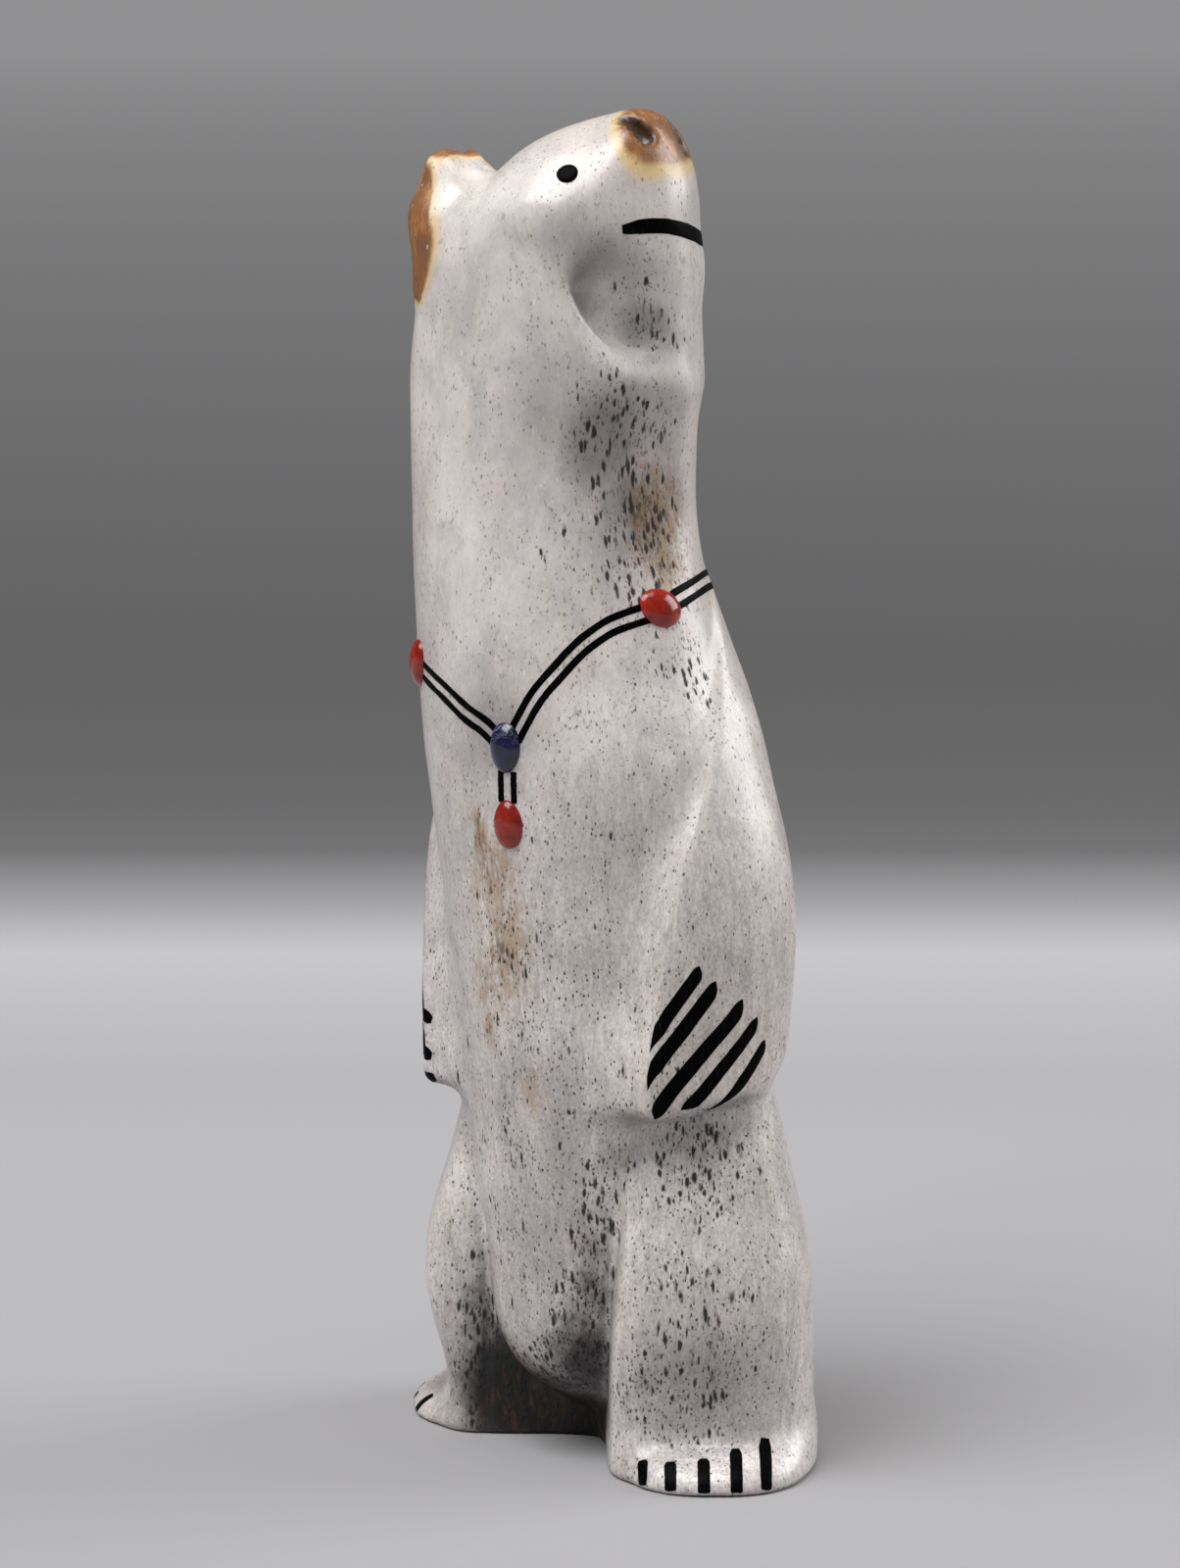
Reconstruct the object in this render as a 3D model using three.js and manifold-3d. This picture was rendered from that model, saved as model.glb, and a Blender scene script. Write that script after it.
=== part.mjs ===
// A standing bear fetish carved from one piece of antler, its head turned to its left and raised.
// Jet strips, coral drops and a lapis drop are let into the surface.
// Millimetres, +Z up. The bear faces -Y, its left side is +X, and it stands on Z = 0.
import * as THREE from 'three';
import { mergeVertices } from 'three/addons/utils/BufferGeometryUtils.js';
import Module from 'manifold-3d';

const wasm = await Module();
wasm.setup();

// Driving dimensions
const height = 115; // sole to the top of the nose
const glueLine = 0.1; // gap left round every inlay
const strandWidth = 0.6; // jet strands of the necklace
const strandGap = 1.15; // between the middles of a pair of strands
const strandDepth = 1.1;
const pendantGap = 1.3; // between the middles of the two pendant strands
const handClawWidth = 1.1;
const handClawDepth = 1.0;
const footClawWidth = 1.05;
const footClawDepth = 1.2;
const mouthWidth = 1.25;
const mouthDepth = 1.3;
const eyeRadius = 0.9;
const eyeDepth = 1.5;
const eyeDome = 0.25;
const coralLength = 4.2; // the drops at the shoulders
const coralWidth = 3.2;
const lapisLength = 4.2;
const lapisWidth = 3.0;
const pendantLength = 4.2;
const pendantWidth = 2.8;
const stoneSeat = 1.2; // how deep a stone is let in
const stoneRim = 0.15; // where its wall turns over into the dome
const stoneDome = 0.85; // top of the dome over the carving

// The carving is drawn in units of about a hundredth of its height
const drawnHeight = 98.5;
const unit = height / drawnHeight;
const aside = 0.5; // from the axis of the drawing to the middle of the outline, in units
const setback = 2.43;
const turn = Math.PI / 180;

// Colours
const antler = { color: 0xcfcac6, roughness: 0.32, metalness: 0 };
const jet = { color: 0x0c0c0d, roughness: 0.25, metalness: 0 };
const coral = { color: 0xb3200f, roughness: 0.15, metalness: 0 };
const lapis = { color: 0x1c2270, roughness: 0.2, metalness: 0 };

// Rounded joins and cuts of two depths, where a depth is negative inside the material
function join(a, b, soft) {
  const share = Math.max(soft - Math.abs(a - b), 0) / soft;
  return Math.min(a, b) - share * share * soft / 4;
}

function trim(a, b, soft) {
  return -join(-a, -b, soft);
}

// A smooth curve through rows of [place, value]
function along(rows, place, column = 1) {
  const last = rows.length - 2;
  let i = 0;
  while (i < last && place > rows[i + 1][0]) i += 1;
  const slope = (k) => (rows[k + 1][column] - rows[k][column]) / (rows[k + 1][0] - rows[k][0]);
  const start = i > 0 ? (slope(i - 1) + slope(i)) / 2 : slope(i);
  const end = i < last ? (slope(i) + slope(i + 1)) / 2 : slope(i);
  const run = rows[i + 1][0] - rows[i][0];
  const t = Math.min(Math.max((place - rows[i][0]) / run, 0), 1);
  const low = rows[i][column];
  const high = rows[i + 1][column];
  const bend = (t * t * t - 2 * t * t + t) * run * start + (t * t * t - t * t) * run * end;
  return low + (3 - 2 * t) * t * t * (high - low) + bend;
}

function vector(list) {
  return new THREE.Vector3(...list);
}

function between(value, low, high) {
  return Math.min(Math.max(value, low), high);
}

// A soft step from 0 at low to 1 at high
function easeStep(value, low, high) {
  const t = between((value - low) / (high - low), 0, 1);
  return t * t * (3 - 2 * t);
}

// Depth inside an oval, an ellipsoid and a tapered rod with round ends
function oval(u, v, a, b) {
  const ring = Math.hypot(u / a, v / b);
  return ring * (ring - 1) / (Math.hypot(u / (a * a), v / (b * b)) + 1e-9);
}

function egg(p, middle, half) {
  const d = p.map((value, i) => value - middle[i]);
  const ring = Math.hypot(d[0] / half[0], d[1] / half[1], d[2] / half[2]);
  const rate = Math.hypot(d[0] / half[0] ** 2, d[1] / half[1] ** 2, d[2] / half[2] ** 2) + 1e-9;
  return ring * (ring - 1) / rate;
}

function rod(p, from, to, startRadius, endRadius) {
  const run = to.map((value, i) => value - from[i]);
  const off = p.map((value, i) => value - from[i]);
  const length = run[0] * run[0] + run[1] * run[1] + run[2] * run[2];
  const t = between((off[0] * run[0] + off[1] * run[1] + off[2] * run[2]) / length, 0, 1);
  const away = Math.hypot(off[0] - t * run[0], off[1] - t * run[1], off[2] - t * run[2]);
  return away - (startRadius + (endRadius - startRadius) * t);
}

// Trunk and neck: an oval section that turns with the head as it rises.
// Each row is height, middle x, middle y, half width, half depth, turn
const trunkRows = [
  [4, 0, 1.1, 6.8, 6.9, 0],
  [9, 0, 1.1, 7.6, 7.8, 0],
  [14, 0, 1.2, 8.2, 8.4, 0],
  [20, 0, 1.2, 9, 9.1, 0],
  [30, 0, 1.2, 10.3, 10, 0],
  [42, 0, 1, 11.9, 11, 2],
  [52, -0.5, 0.6, 12.8, 11.2, 4],
  [60, -2.1, 0.1, 11.7, 10.6, 8],
  [68, -3.1, -0.7, 11, 9.2, 13],
  [76, -3.3, -0.7, 11.2, 8.5, 17],
  [80, -2.9, -0.7, 11.6, 8.3, 17],
  [84, -2.35, -0.7, 11.4, 8.1, 17],
  [94, -2.9, -0.7, 10.9, 7.6, 17],
];
const bellyBottom = 3.4;

function trunk(x, y, z) {
  const [middleX, middleY, a, b, yaw] = [1, 2, 3, 4, 5].map((column) => along(trunkRows, z, column));
  const c = Math.cos(yaw * turn);
  const s = Math.sin(yaw * turn);
  return oval((x - middleX) * c + (y - middleY) * s, (y - middleY) * c - (x - middleX) * s, a, b);
}

// The head has its own frame: s runs forward to the nose, w to its left, h up
const headTurn = 17 * turn;
const headMiddle = [-3, -0.7];
const headTilt = 0.05;

function toHead(x, y, z) {
  const dx = x - headMiddle[0];
  const dy = y - headMiddle[1];
  const s = dx * Math.cos(headTurn) + dy * Math.sin(headTurn);
  const w = dy * Math.cos(headTurn) - dx * Math.sin(headTurn);
  return [s, w, z + headTilt * w];
}

function fromHead(s, w, h) {
  const x = headMiddle[0] + s * Math.cos(headTurn) - w * Math.sin(headTurn);
  const y = headMiddle[1] + s * Math.sin(headTurn) + w * Math.cos(headTurn);
  return [x, y, h - headTilt * w];
}

const topLine = [[-12, 93.6], [-4.4, 93.7], [-2.5, 95], [-1.2, 95.9], [0.8, 96.9], [2.8, 97.6],
  [4.8, 98.1], [6.8, 98.5], [8.6, 98.5], [11.5, 96.6]];
const ruffRight = [[75, 22], [78.6, 14.2], [79.8, 11.2], [80.6, 9.6], [81.7, 8.2], [83.3, 6.9],
  [85.5, 5.9], [88, 5.6], [90.6, 5.4], [97, 4.8]];
const ruffLeft = [[75, 22], [78.2, 14.8], [80, 12.7], [82.5, 11.6], [85.4, 10.5], [88, 9], [90, 7], [92, 5.2],
  [97, 4.2]];
const muzzleFront = [[84, 9.4], [86.5, 10.6], [90, 11.1], [93, 10.9], [96, 10.1], [99, 8.9]];
const muzzleHalf = [[84, 3.4], [87, 4.5], [90.5, 5.2], [96, 4.8]];
const muzzleMiddle = 6.6;
const nostrils = [[[7.2, -2.6, 97.7], [8.6, -2.6, 96.5]], [[8.7, 1.9, 97.4], [10, 1.4, 95.9]]];

function skull(x, y, z, s, w, h) {
  const left = easeStep(w, -5.2, -1);
  const ruff = along(ruffRight, h) * (1 - left) + along(ruffLeft, h) * left;
  const halfThere = 8 * Math.sqrt(between(1 - (ruff / 11.3) ** 2, 0.05, 1));
  const across = between(1 - (w / halfThere) ** 4, 0, 1);
  const scoop = 2.4 * across * easeStep(91 - h, 0, 6) * easeStep(h, 79.4, 81.6) * (1 - left);
  return trim(trunk(x, y, z), (s - ruff + scoop) * 0.85, 3);
}

function muzzle(s, w, h) {
  const half = along(muzzleHalf, h);
  const back = Math.max(muzzleMiddle - s, 0);
  const cheek = Math.min(0.7 * back * back / (back + 1.2), 3) * between((h - 84) / 4.5, 0, 1);
  const side = s > muzzleMiddle
    ? oval(s - muzzleMiddle, w, along(muzzleFront, h) - muzzleMiddle, half)
    : Math.abs(w) - (half + cheek);
  return trim(side, 85.5 - h + 0.08 * w * w - 0.2 * (s - 8.5), 2.6);
}

function head(x, y, z) {
  const [s, w, h] = toHead(x, y, z);
  const both = [s, Math.abs(w), h];
  const soft = 4 + 1.2 * easeStep(h, 87, 92) * easeStep(-w, -3, 4);
  let d = join(skull(x, y, z, s, w, h), muzzle(s, w, h), soft);
  d = trim(d, -rod(both, [4.9, 8.3, 95.4], [4.6, 5.2, 99.4], 1.9, 1.7), 2.2);
  d = trim(d, (h - along(topLine, s)) * 0.9 + 0.075 * w * w, 2.6);
  d = trim(d, (bellyBottom - z) * 0.95, 7);
  d = trim(d, -egg([s, w, h], [14.2, -6.4, 72], [5.8, 4.8, 7]), 4); // hollow of the throat
  d = join(d, rod(both, [-7.2, 2.3, 86], [-7.6, 2.1, 93.3], 2.4, 2.15), 2); // ears
  d = trim(d, -egg(both, [-5.2, 3, 95.6], [2.3, 1.9, 2.7]), 1);
  d = trim(d, -rod(both, [-12.5, 0, 96.6], [-4.5, 0, 95.2], 0.5, 0.6), 1);
  d = trim(d, -(s + 10.9) + 0.16 * Math.max(h - 88.5, 0), 3); // nape
  for (const [start, end] of nostrils) d = trim(d, -rod([s, w, h], start, end, 0.45, 0.75), 0.3);
  return d;
}

// Arms: a low panel down each side that ends in the flat hand.
// Rows of half width and front hold height, left arm, right arm
const armHalfWidth = [[20, 15, 14.6], [30, 15.2, 14.8], [40, 15.9, 14.8], [46, 15.1, 14.4], [53, 12.6, 12.8],
  [60, 9.3, 9.2], [68, 5, 5]];
const armHalfDepth = [[20, 12.4], [46, 12.3], [53, 11], [60, 8.8], [68, 5]];
const armFront = [[24, -4.8, -6], [26, -5.5, -6.1], [27.4, -5.95, -6.2], [29.3, -6.15, -6.2], [31, -6, -6.1],
  [34, -5.7, -6], [38, -5.35, -5.3], [46, -3.8, -3.8], [53, 0.2, 0.2], [60, 4.5, 4.5], [66, 8, 8]];
const handFoot = [[-8, 26.6], [-5.8, 26.7], [-3.4, 27], [-0.8, 27.8], [4.2, 28.9], [7.5, 31], [10.5, 36.5]];
const rightHandDrop = 0.6; // how much lower the right hand ends

function arms(x, y, z) {
  const right = x < 0;
  const column = right ? 2 : 1;
  let d = oval(x, y - 1.9, along(armHalfWidth, z, column), along(armHalfDepth, z));
  d = trim(d, (along(armFront, z, column) - y) * 0.9, 0.25);
  d = trim(d, (along(handFoot, y) - (right ? rightHandDrop : 0) - z) * 0.85, 1.3);
  d = trim(d, (y - 10) * 0.8, 5);
  return trim(d, z - 68, 5);
}

// Legs: toe runs out to the toes at 45 degrees, across runs over the foot
const legMiddle = [8.75, 3.95];
const shinFront = [[0, 7.3], [3.6, 7.3], [5.2, 7.6], [9.5, 8.7], [12, 9], [15, 8.7], [20, 7.2], [26, 5.7],
  [30, 4.9], [34, 4]];
const legInner = [[0, 7.5], [6, 7.6], [12, 7.3], [19, 6.7], [24, 6.5], [30, 6.1], [34, 5.5]];
const legOuter = [[0, 7.4], [9, 7.4], [16, 7], [22, 5.7], [28, 4.3], [36, 2]];
const leftFoot = { length: 11.5, rise: 2.9 };
const rightFoot = { length: 10.3, rise: 2.3 };
const footHalfWidth = 7.4;

function legs(x, y, z) {
  const toe = (Math.abs(x) - legMiddle[0] - y + legMiddle[1]) * Math.SQRT1_2;
  const across = (Math.abs(x) - legMiddle[0] + y - legMiddle[1]) * Math.SQRT1_2;
  const wide = along(across > 0 ? legOuter : legInner, z);
  const deep = toe > 0 ? along(shinFront, z) : 9;
  const square = across < 0 && toe > 0 ? 7 : 2.8; // the inner front edge is crisp
  const post = (Math.abs(across / wide) ** square + Math.abs(toe / deep) ** square) ** (1 / square);
  const leg = trim((post - 1) * 7, z - 33, 6);
  const { length, rise } = x > 0 ? leftFoot : rightFoot;
  const sole = (Math.abs(across / footHalfWidth) ** 2.6 + Math.abs(toe / length) ** 2.6) ** (1 / 2.6);
  const foot = trim((sole - 1) * 7.3, (z - rise + 0.2 * (toe - 6)) * 0.95, 2.2);
  return join(leg, foot, 1.3);
}

function carving(x, y, z) {
  let d = join(head(x, y, z), arms(x, y, z), 1.6);
  d = join(d, legs(x, y, z), 0.8 + 1.6 * easeStep(z, 15, 25));
  d = join(d, egg([x, y, z], [0, 6.5, 12], [10, 7, 18]), 3); // rump
  d = join(d, egg([x, y, z], [0, 13.6, 13.5], [2.6, 2.2, 3.6]), 1.5); // tail
  return trim(d, -1 - z, 0.5);
}

function outward(x, y, z) {
  const e = 0.05;
  const slope = [
    carving(x + e, y, z) - carving(x - e, y, z),
    carving(x, y + e, z) - carving(x, y - e, z),
    carving(x, y, z + e) - carving(x, y, z - e),
  ];
  const size = Math.hypot(...slope);
  return { away: slope.map((value) => value / size), rate: size / (2 * e) };
}

// Grid lines from low to high, each step as long as the function says at that place
function lines(low, high, stepAt) {
  const places = [low];
  while (places[places.length - 1] < high) {
    const last = places[places.length - 1];
    places.push(last + stepAt(last));
  }
  return places;
}

// A closed net over the carving: one corner in each grid cell that its surface crosses
function surfaceNet(xs, ys, zs) {
  const [nx, ny, nz] = [xs.length, ys.length, zs.length];
  const at = (i, j, k) => (i * ny + j) * nz + k;
  const depth = new Float64Array(nx * ny * nz);
  for (let i = 0; i < nx; i += 1) {
    for (let j = 0; j < ny; j += 1) {
      for (let k = 0; k < nz; k += 1) depth[at(i, j, k)] = carving(xs[i], ys[j], zs[k]);
    }
  }
  const corner = new Map();
  const points = [];
  const step = [[1, 0, 0], [0, 1, 0], [0, 0, 1]];
  const grid = [xs, ys, zs];
  const slack = 0.15; // holds a corner near the middle of its cell where the surface is flat
  // Where the surfaces at the crossed edges meet, so that a ridge keeps its edge
  function cellPoint(i, j, k) {
    const crossings = [];
    for (let axis = 0; axis < 3; axis += 1) {
      const others = step.filter((unused, index) => index !== axis);
      for (const [m, n] of [[0, 0], [1, 0], [0, 1], [1, 1]]) {
        const a = [0, 1, 2].map((c) => [i, j, k][c] + m * others[0][c] + n * others[1][c]);
        const b = a.map((value, c) => value + step[axis][c]);
        const da = depth[at(...a)];
        const db = depth[at(...b)];
        if ((da < 0) === (db < 0)) continue;
        const t = da / (da - db);
        crossings.push([0, 1, 2].map((c) => grid[c][a[c]] + t * (grid[c][b[c]] - grid[c][a[c]])));
      }
    }
    const middle = [0, 1, 2].map((c) => crossings.reduce((sum, p) => sum + p[c], 0) / crossings.length);
    const matrix = [slack, 0, 0, 0, slack, 0, 0, 0, slack];
    const pull = [0, 0, 0];
    for (const p of crossings) {
      const { away } = outward(...p);
      const reach = away.reduce((sum, value, c) => sum + value * (p[c] - middle[c]), 0);
      for (let c = 0; c < 3; c += 1) {
        pull[c] += away[c] * reach;
        for (let r = 0; r < 3; r += 1) matrix[3 * c + r] += away[c] * away[r];
      }
    }
    const shift = vector(pull).applyMatrix3(new THREE.Matrix3().set(...matrix).invert()).toArray();
    return middle.map((value, c) => {
      const low = grid[c][[i, j, k][c]];
      const high = grid[c][[i, j, k][c] + 1];
      const margin = 0.1 * (high - low);
      return between(value + shift[c], low + margin, high - margin);
    });
  }
  function cornerOf(i, j, k) {
    const key = at(i, j, k);
    if (!corner.has(key)) {
      let p = cellPoint(i, j, k);
      for (let pass = 0; pass < 3; pass += 1) {
        const { away, rate } = outward(...p);
        const move = between(carving(...p) / Math.max(rate, 0.4), -0.5, 0.5);
        p = p.map((value, c) => value - away[c] * move);
      }
      corner.set(key, points.length);
      points.push(p);
    }
    return corner.get(key);
  }
  const faces = [];
  for (let i = 1; i < nx - 1; i += 1) {
    for (let j = 1; j < ny - 1; j += 1) {
      for (let k = 1; k < nz - 1; k += 1) {
        for (let axis = 0; axis < 3; axis += 1) {
          const here = depth[at(i, j, k)];
          const next = depth[at(i + step[axis][0], j + step[axis][1], k + step[axis][2])];
          if ((here < 0) === (next < 0)) continue;
          const u = step[(axis + 1) % 3];
          const v = step[(axis + 2) % 3];
          const ring = [[0, 0], [1, 0], [1, 1], [0, 1]].map(([m, n]) =>
            cornerOf(i - m * u[0] - n * v[0], j - m * u[1] - n * v[1], k - m * u[2] - n * v[2]));
          const [a, b, c, d] = here < 0 ? ring : ring.reverse();
          const gap = (m, n) => Math.hypot(...points[m].map((value, index) => value - points[n][index]));
          if (gap(a, c) < gap(b, d)) faces.push(a, b, c, a, c, d);
          else faces.push(a, b, d, b, c, d);
        }
      }
    }
  }
  return { points, faces };
}

// Solids for joining and cutting, in millimetres
function solidOf(points, faces) {
  const vertProperties = new Float32Array(points.flat());
  return new wasm.Manifold(new wasm.Mesh({ numProp: 3, vertProperties, triVerts: new Uint32Array(faces) }));
}

function solidFromGeometry(geometry) {
  const plain = geometry.clone();
  plain.deleteAttribute('normal');
  plain.deleteAttribute('uv');
  const merged = mergeVertices(plain, 1e-5);
  const index = merged.index.array;
  const faces = [];
  for (let i = 0; i < index.length; i += 3) {
    const [a, b, c] = [index[i], index[i + 1], index[i + 2]];
    if (a !== b && b !== c && c !== a) faces.push(a, b, c);
  }
  const place = merged.attributes.position;
  const points = [];
  for (let i = 0; i < place.count; i += 1) points.push([place.getX(i), place.getY(i), place.getZ(i)]);
  return solidOf(points, faces);
}

// The surface of a solid, with corners that a cut left closer together than this made one
const sameCorner = 0.01;

function geometryFrom(solid) {
  const mesh = solid.getMesh();
  const place = mesh.vertProperties;
  const near = new Map();
  const kept = [];
  for (let i = 0; i < mesh.numVert; i += 1) {
    const p = [place[3 * i], place[3 * i + 1], place[3 * i + 2]];
    const match = kept.findIndex((q) => Math.hypot(p[0] - q[0], p[1] - q[1], p[2] - q[2]) < sameCorner);
    near.set(i, match < 0 ? kept.length : match);
    if (match < 0) kept.push(p);
  }
  const faces = new Map();
  for (let i = 0; i < mesh.triVerts.length; i += 3) {
    const [a, b, c] = [0, 1, 2].map((k) => near.get(mesh.triVerts[i + k]));
    if (a === b || b === c || c === a) continue;
    const corners = [a, b, c].sort((m, n) => m - n).join(' ');
    if (faces.has(corners)) faces.delete(corners); // two faces folded flat on each other
    else faces.set(corners, [a, b, c]);
  }
  const geometry = new THREE.BufferGeometry();
  geometry.setAttribute('position', new THREE.BufferAttribute(new Float32Array(kept.flat()), 3));
  geometry.setIndex([...faces.values()].flat());
  return geometry;
}

function toMillimetres(p) {
  return [(p[0] - aside) * unit, (p[1] - setback) * unit, p[2] * unit];
}

// Where a level line of sight from a place first touches the carving, with the direction outwards
function touch(from, direction) {
  const size = Math.hypot(...direction);
  const look = direction.map((value) => value / size);
  let p = from;
  for (let pass = 0; pass < 400; pass += 1) {
    const d = carving(...p);
    if (d < 0.002) break;
    p = p.map((value, c) => value + look[c] * Math.max(d * 0.5, 0.002));
  }
  return { place: toMillimetres(p), away: outward(...p).away };
}

// A strip let in along touched places: wide at each place as given, standing proud until it is trimmed
const proud = 0.8;

function stripSolid(stops, widthAt, depth, grow) {
  const rows = stops.map((stop, i) => {
    const before = vector(stops[Math.max(i - 1, 0)].place);
    const after = vector(stops[Math.min(i + 1, stops.length - 1)].place);
    const run = after.sub(before).normalize();
    const away = vector(stop.away);
    const across = new THREE.Vector3().crossVectors(away, run).normalize();
    const lift = new THREE.Vector3().crossVectors(run, across).normalize();
    const end = i === 0 ? -grow : i === stops.length - 1 ? grow : 0;
    const middle = vector(stop.place).addScaledVector(run, end);
    const half = widthAt(i / (stops.length - 1)) / 2 + grow;
    const corners = [[-half, -depth - grow], [half, -depth - grow], [half, proud], [-half, proud]];
    return corners.map(([m, n]) =>
      middle.clone().addScaledVector(across, m).addScaledVector(lift, n).toArray());
  });
  const faces = [0, 2, 1, 0, 3, 2];
  for (let i = 0; i + 1 < rows.length; i += 1) {
    for (let k = 0; k < 4; k += 1) {
      const a = 4 * i + k;
      const b = 4 * i + (k + 1) % 4;
      faces.push(a, b, b + 4, a, b + 4, a + 4);
    }
  }
  const last = 4 * (rows.length - 1);
  faces.push(last, last + 1, last + 2, last, last + 2, last + 3);
  return solidOf(rows.flat(), faces);
}

// A stone with an oval foot, its long way along a given direction, and a domed top
const stoneSides = 12;

function stoneSolid(stop, longWay, length, width, seat, rim, dome, grow) {
  const profile = [[0, -seat - grow], [1, -seat - grow], [1, rim]];
  for (const part of [0.35, 0.7]) {
    profile.push([Math.cos(part * Math.PI / 2), rim + (dome - rim) * Math.sin(part * Math.PI / 2)]);
  }
  profile.push([0, dome]);
  const lathe = new THREE.LatheGeometry(profile.map(([r, h]) => new THREE.Vector2(r, h)), stoneSides);
  lathe.scale(width / 2 + grow, 1, length / 2 + grow);
  const away = vector(stop.away);
  const along3 = vector(longWay);
  along3.addScaledVector(away, -along3.dot(away)).normalize();
  const side = new THREE.Vector3().crossVectors(away, along3);
  const frame = new THREE.Matrix4().makeBasis(side, away, along3);
  frame.setPosition(vector(stop.place));
  lathe.applyMatrix4(frame);
  return solidFromGeometry(lathe);
}

// The bare carving, its sole cut flat
const xLines = lines(-23, 21, () => 2.2);
const yLines = lines(-14.7, 18, () => 2.2);
const zLines = lines(-4.1, 101, (z) => (z < 4 ? 1.9 : z > 77 ? 1.7 : 4.4));
const net = surfaceNet(xLines, yLines, zLines);
const blank = solidOf(net.points.map(toMillimetres), net.faces);
const block = new THREE.BoxGeometry(height, height, 2 * height);
block.translate(0, 0, height);
const bareBear = blank.intersect(solidFromGeometry(block));

const pieces = [];
let bear = bareBear;

function addStone(name, finish, stop, longWay, size) {
  const shape = (grow) => stoneSolid(stop, longWay, ...size, grow);
  const pocket = shape(glueLine);
  bear = bear.subtract(pocket);
  pieces.push({ name, finish, solid: shape(0) });
  return pocket;
}

function addStrip(name, stops, widthAt, depth, stones = []) {
  const pocket = stripSolid(stops, widthAt, depth, glueLine);
  let solid = stripSolid(stops, widthAt, depth, 0).intersect(bareBear);
  for (const stone of stones) solid = solid.subtract(stone);
  bear = bear.subtract(pocket);
  pieces.push({ name, finish: jet, solid });
}

// A place on the trunk by its angle round the axis, 0 at the front and 90 at the left, and its height
function onTrunk(angle, z) {
  const look = [Math.sin(angle * turn), -Math.cos(angle * turn), 0];
  return touch([look[0] * 30, look[1] * 30, z], [-look[0], -look[1], 0]);
}

// The necklace: rows of [angle, height] for the middle line of each pair of strands
const lapisPlace = [10, 53.6];
const leftCoralPlace = [81, 63.4];
const rightCoralPlace = [-46, 58.4];
const pendantPlace = [11, 48];
const necklace = [
  { name: 'left', rows: [[13.5, 54.2], [18, 55.8], [23, 57.4], [32, 59.3], [41, 60.9], [54, 62.3], [66, 62.9],
    [76, 63.2]] },
  { name: 'right', rows: [[-42, 58.1], [-35, 57.7], [-22, 56.8], [-10, 55.7], [0, 54.9], [7, 54]] },
  { name: 'back', rows: [[86, 63.6], [100, 64.2], [120, 64.6], [145, 64.4], [170, 63.6], [195, 62.4],
    [220, 60.9], [245, 59.8], [270, 59], [292, 58.5], [309, 58.4]] },
];
const upright = [0, 0, 1];
const stoneHeights = [stoneSeat, stoneRim, stoneDome];
const coralSize = [coralLength, coralWidth, ...stoneHeights];
const stones = [
  addStone('lapis drop', lapis, onTrunk(...lapisPlace), upright, [lapisLength, lapisWidth, ...stoneHeights]),
  addStone('left coral drop', coral, onTrunk(...leftCoralPlace), [0.4, 1, -0.35], coralSize),
  addStone('right coral drop', coral, onTrunk(...rightCoralPlace), [0.2, -0.2, 1], coralSize),
  addStone('pendant coral drop', coral, onTrunk(...pendantPlace), upright,
    [pendantLength, pendantWidth, ...stoneHeights]),
];

for (const { name, rows } of necklace) {
  for (const [level, side] of [['upper', 1], ['lower', -1]]) {
    const stops = rows.map(([angle, z], i) => {
      const before = rows[Math.max(i - 1, 0)];
      const after = rows[Math.min(i + 1, rows.length - 1)];
      const around = (after[0] - before[0]) * turn * 11;
      const rise = after[1] - before[1];
      const shift = side * strandGap / 2 / unit / Math.hypot(around, rise);
      return onTrunk(angle - shift * rise / (turn * 11), z + shift * around);
    });
    addStrip(`${name} ${level} strand`, stops, () => strandWidth, strandDepth, stones);
  }
}

const pendantHeights = [51.9, 50.8, 49.6];
for (const [name, side] of [['right', -1], ['left', 1]]) {
  const stops = pendantHeights.map((z) => {
    const shift = side * pendantGap / 2 / unit / (turn * 10.6);
    return onTrunk(pendantPlace[0] + shift, z);
  });
  addStrip(`${name} pendant strand`, stops, () => strandWidth, strandDepth, stones);
}

// Claws of the hands: rows of [y, z] from the fingertip up
const handClaws = [
  [[-5.5, 33.3], [-4.9, 35.3], [-3.4, 38.2]],
  [[-5.7, 29.9], [-4.5, 33], [-2.2, 37]],
  [[-5.5, 27.6], [-3.5, 31.1], [0.1, 35.7]],
  [[-3.8, 27.9], [-1.6, 30.5], [1.5, 34.1]],
  [[-1.9, 28], [0.3, 29.6], [2.6, 32.3]],
];
const fingers = ['first', 'second', 'third', 'fourth', 'fifth'];
const steps = 2;

function eased(rows, t) {
  const path = new THREE.CatmullRomCurve3(rows.map(([a, b]) => new THREE.Vector3(a, b, 0)));
  return path.getPoint(t);
}

for (const [side, sign] of [['left', 1], ['right', -1]]) {
  handClaws.forEach((rows, i) => {
    const stops = [];
    for (let k = 0; k <= steps; k += 1) {
      const spot = eased(rows, k / steps);
      stops.push(touch([sign * 22, spot.x, spot.y - (sign < 0 ? rightHandDrop : 0)], [-sign, 0, 0]));
    }
    addStrip(`${side} hand ${fingers[i]} claw`, stops, () => handClawWidth, handClawDepth);
  });
}

// Claws of the feet: how far across the foot each one is, and its top
const leftClaws = [[-5.2, 2.1], [-3.2, 2.25], [-0.8, 2.45], [1.55, 2.85], [3.7, 3.4]];
const rightClaws = [[-2.4, 2.2], [0.8, 1.5], [2.8, 1.6], [4.5, 1.7], [5.9, 1.9]];
const clawFoot = 0.35;
const diagonal = Math.SQRT1_2;

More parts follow.
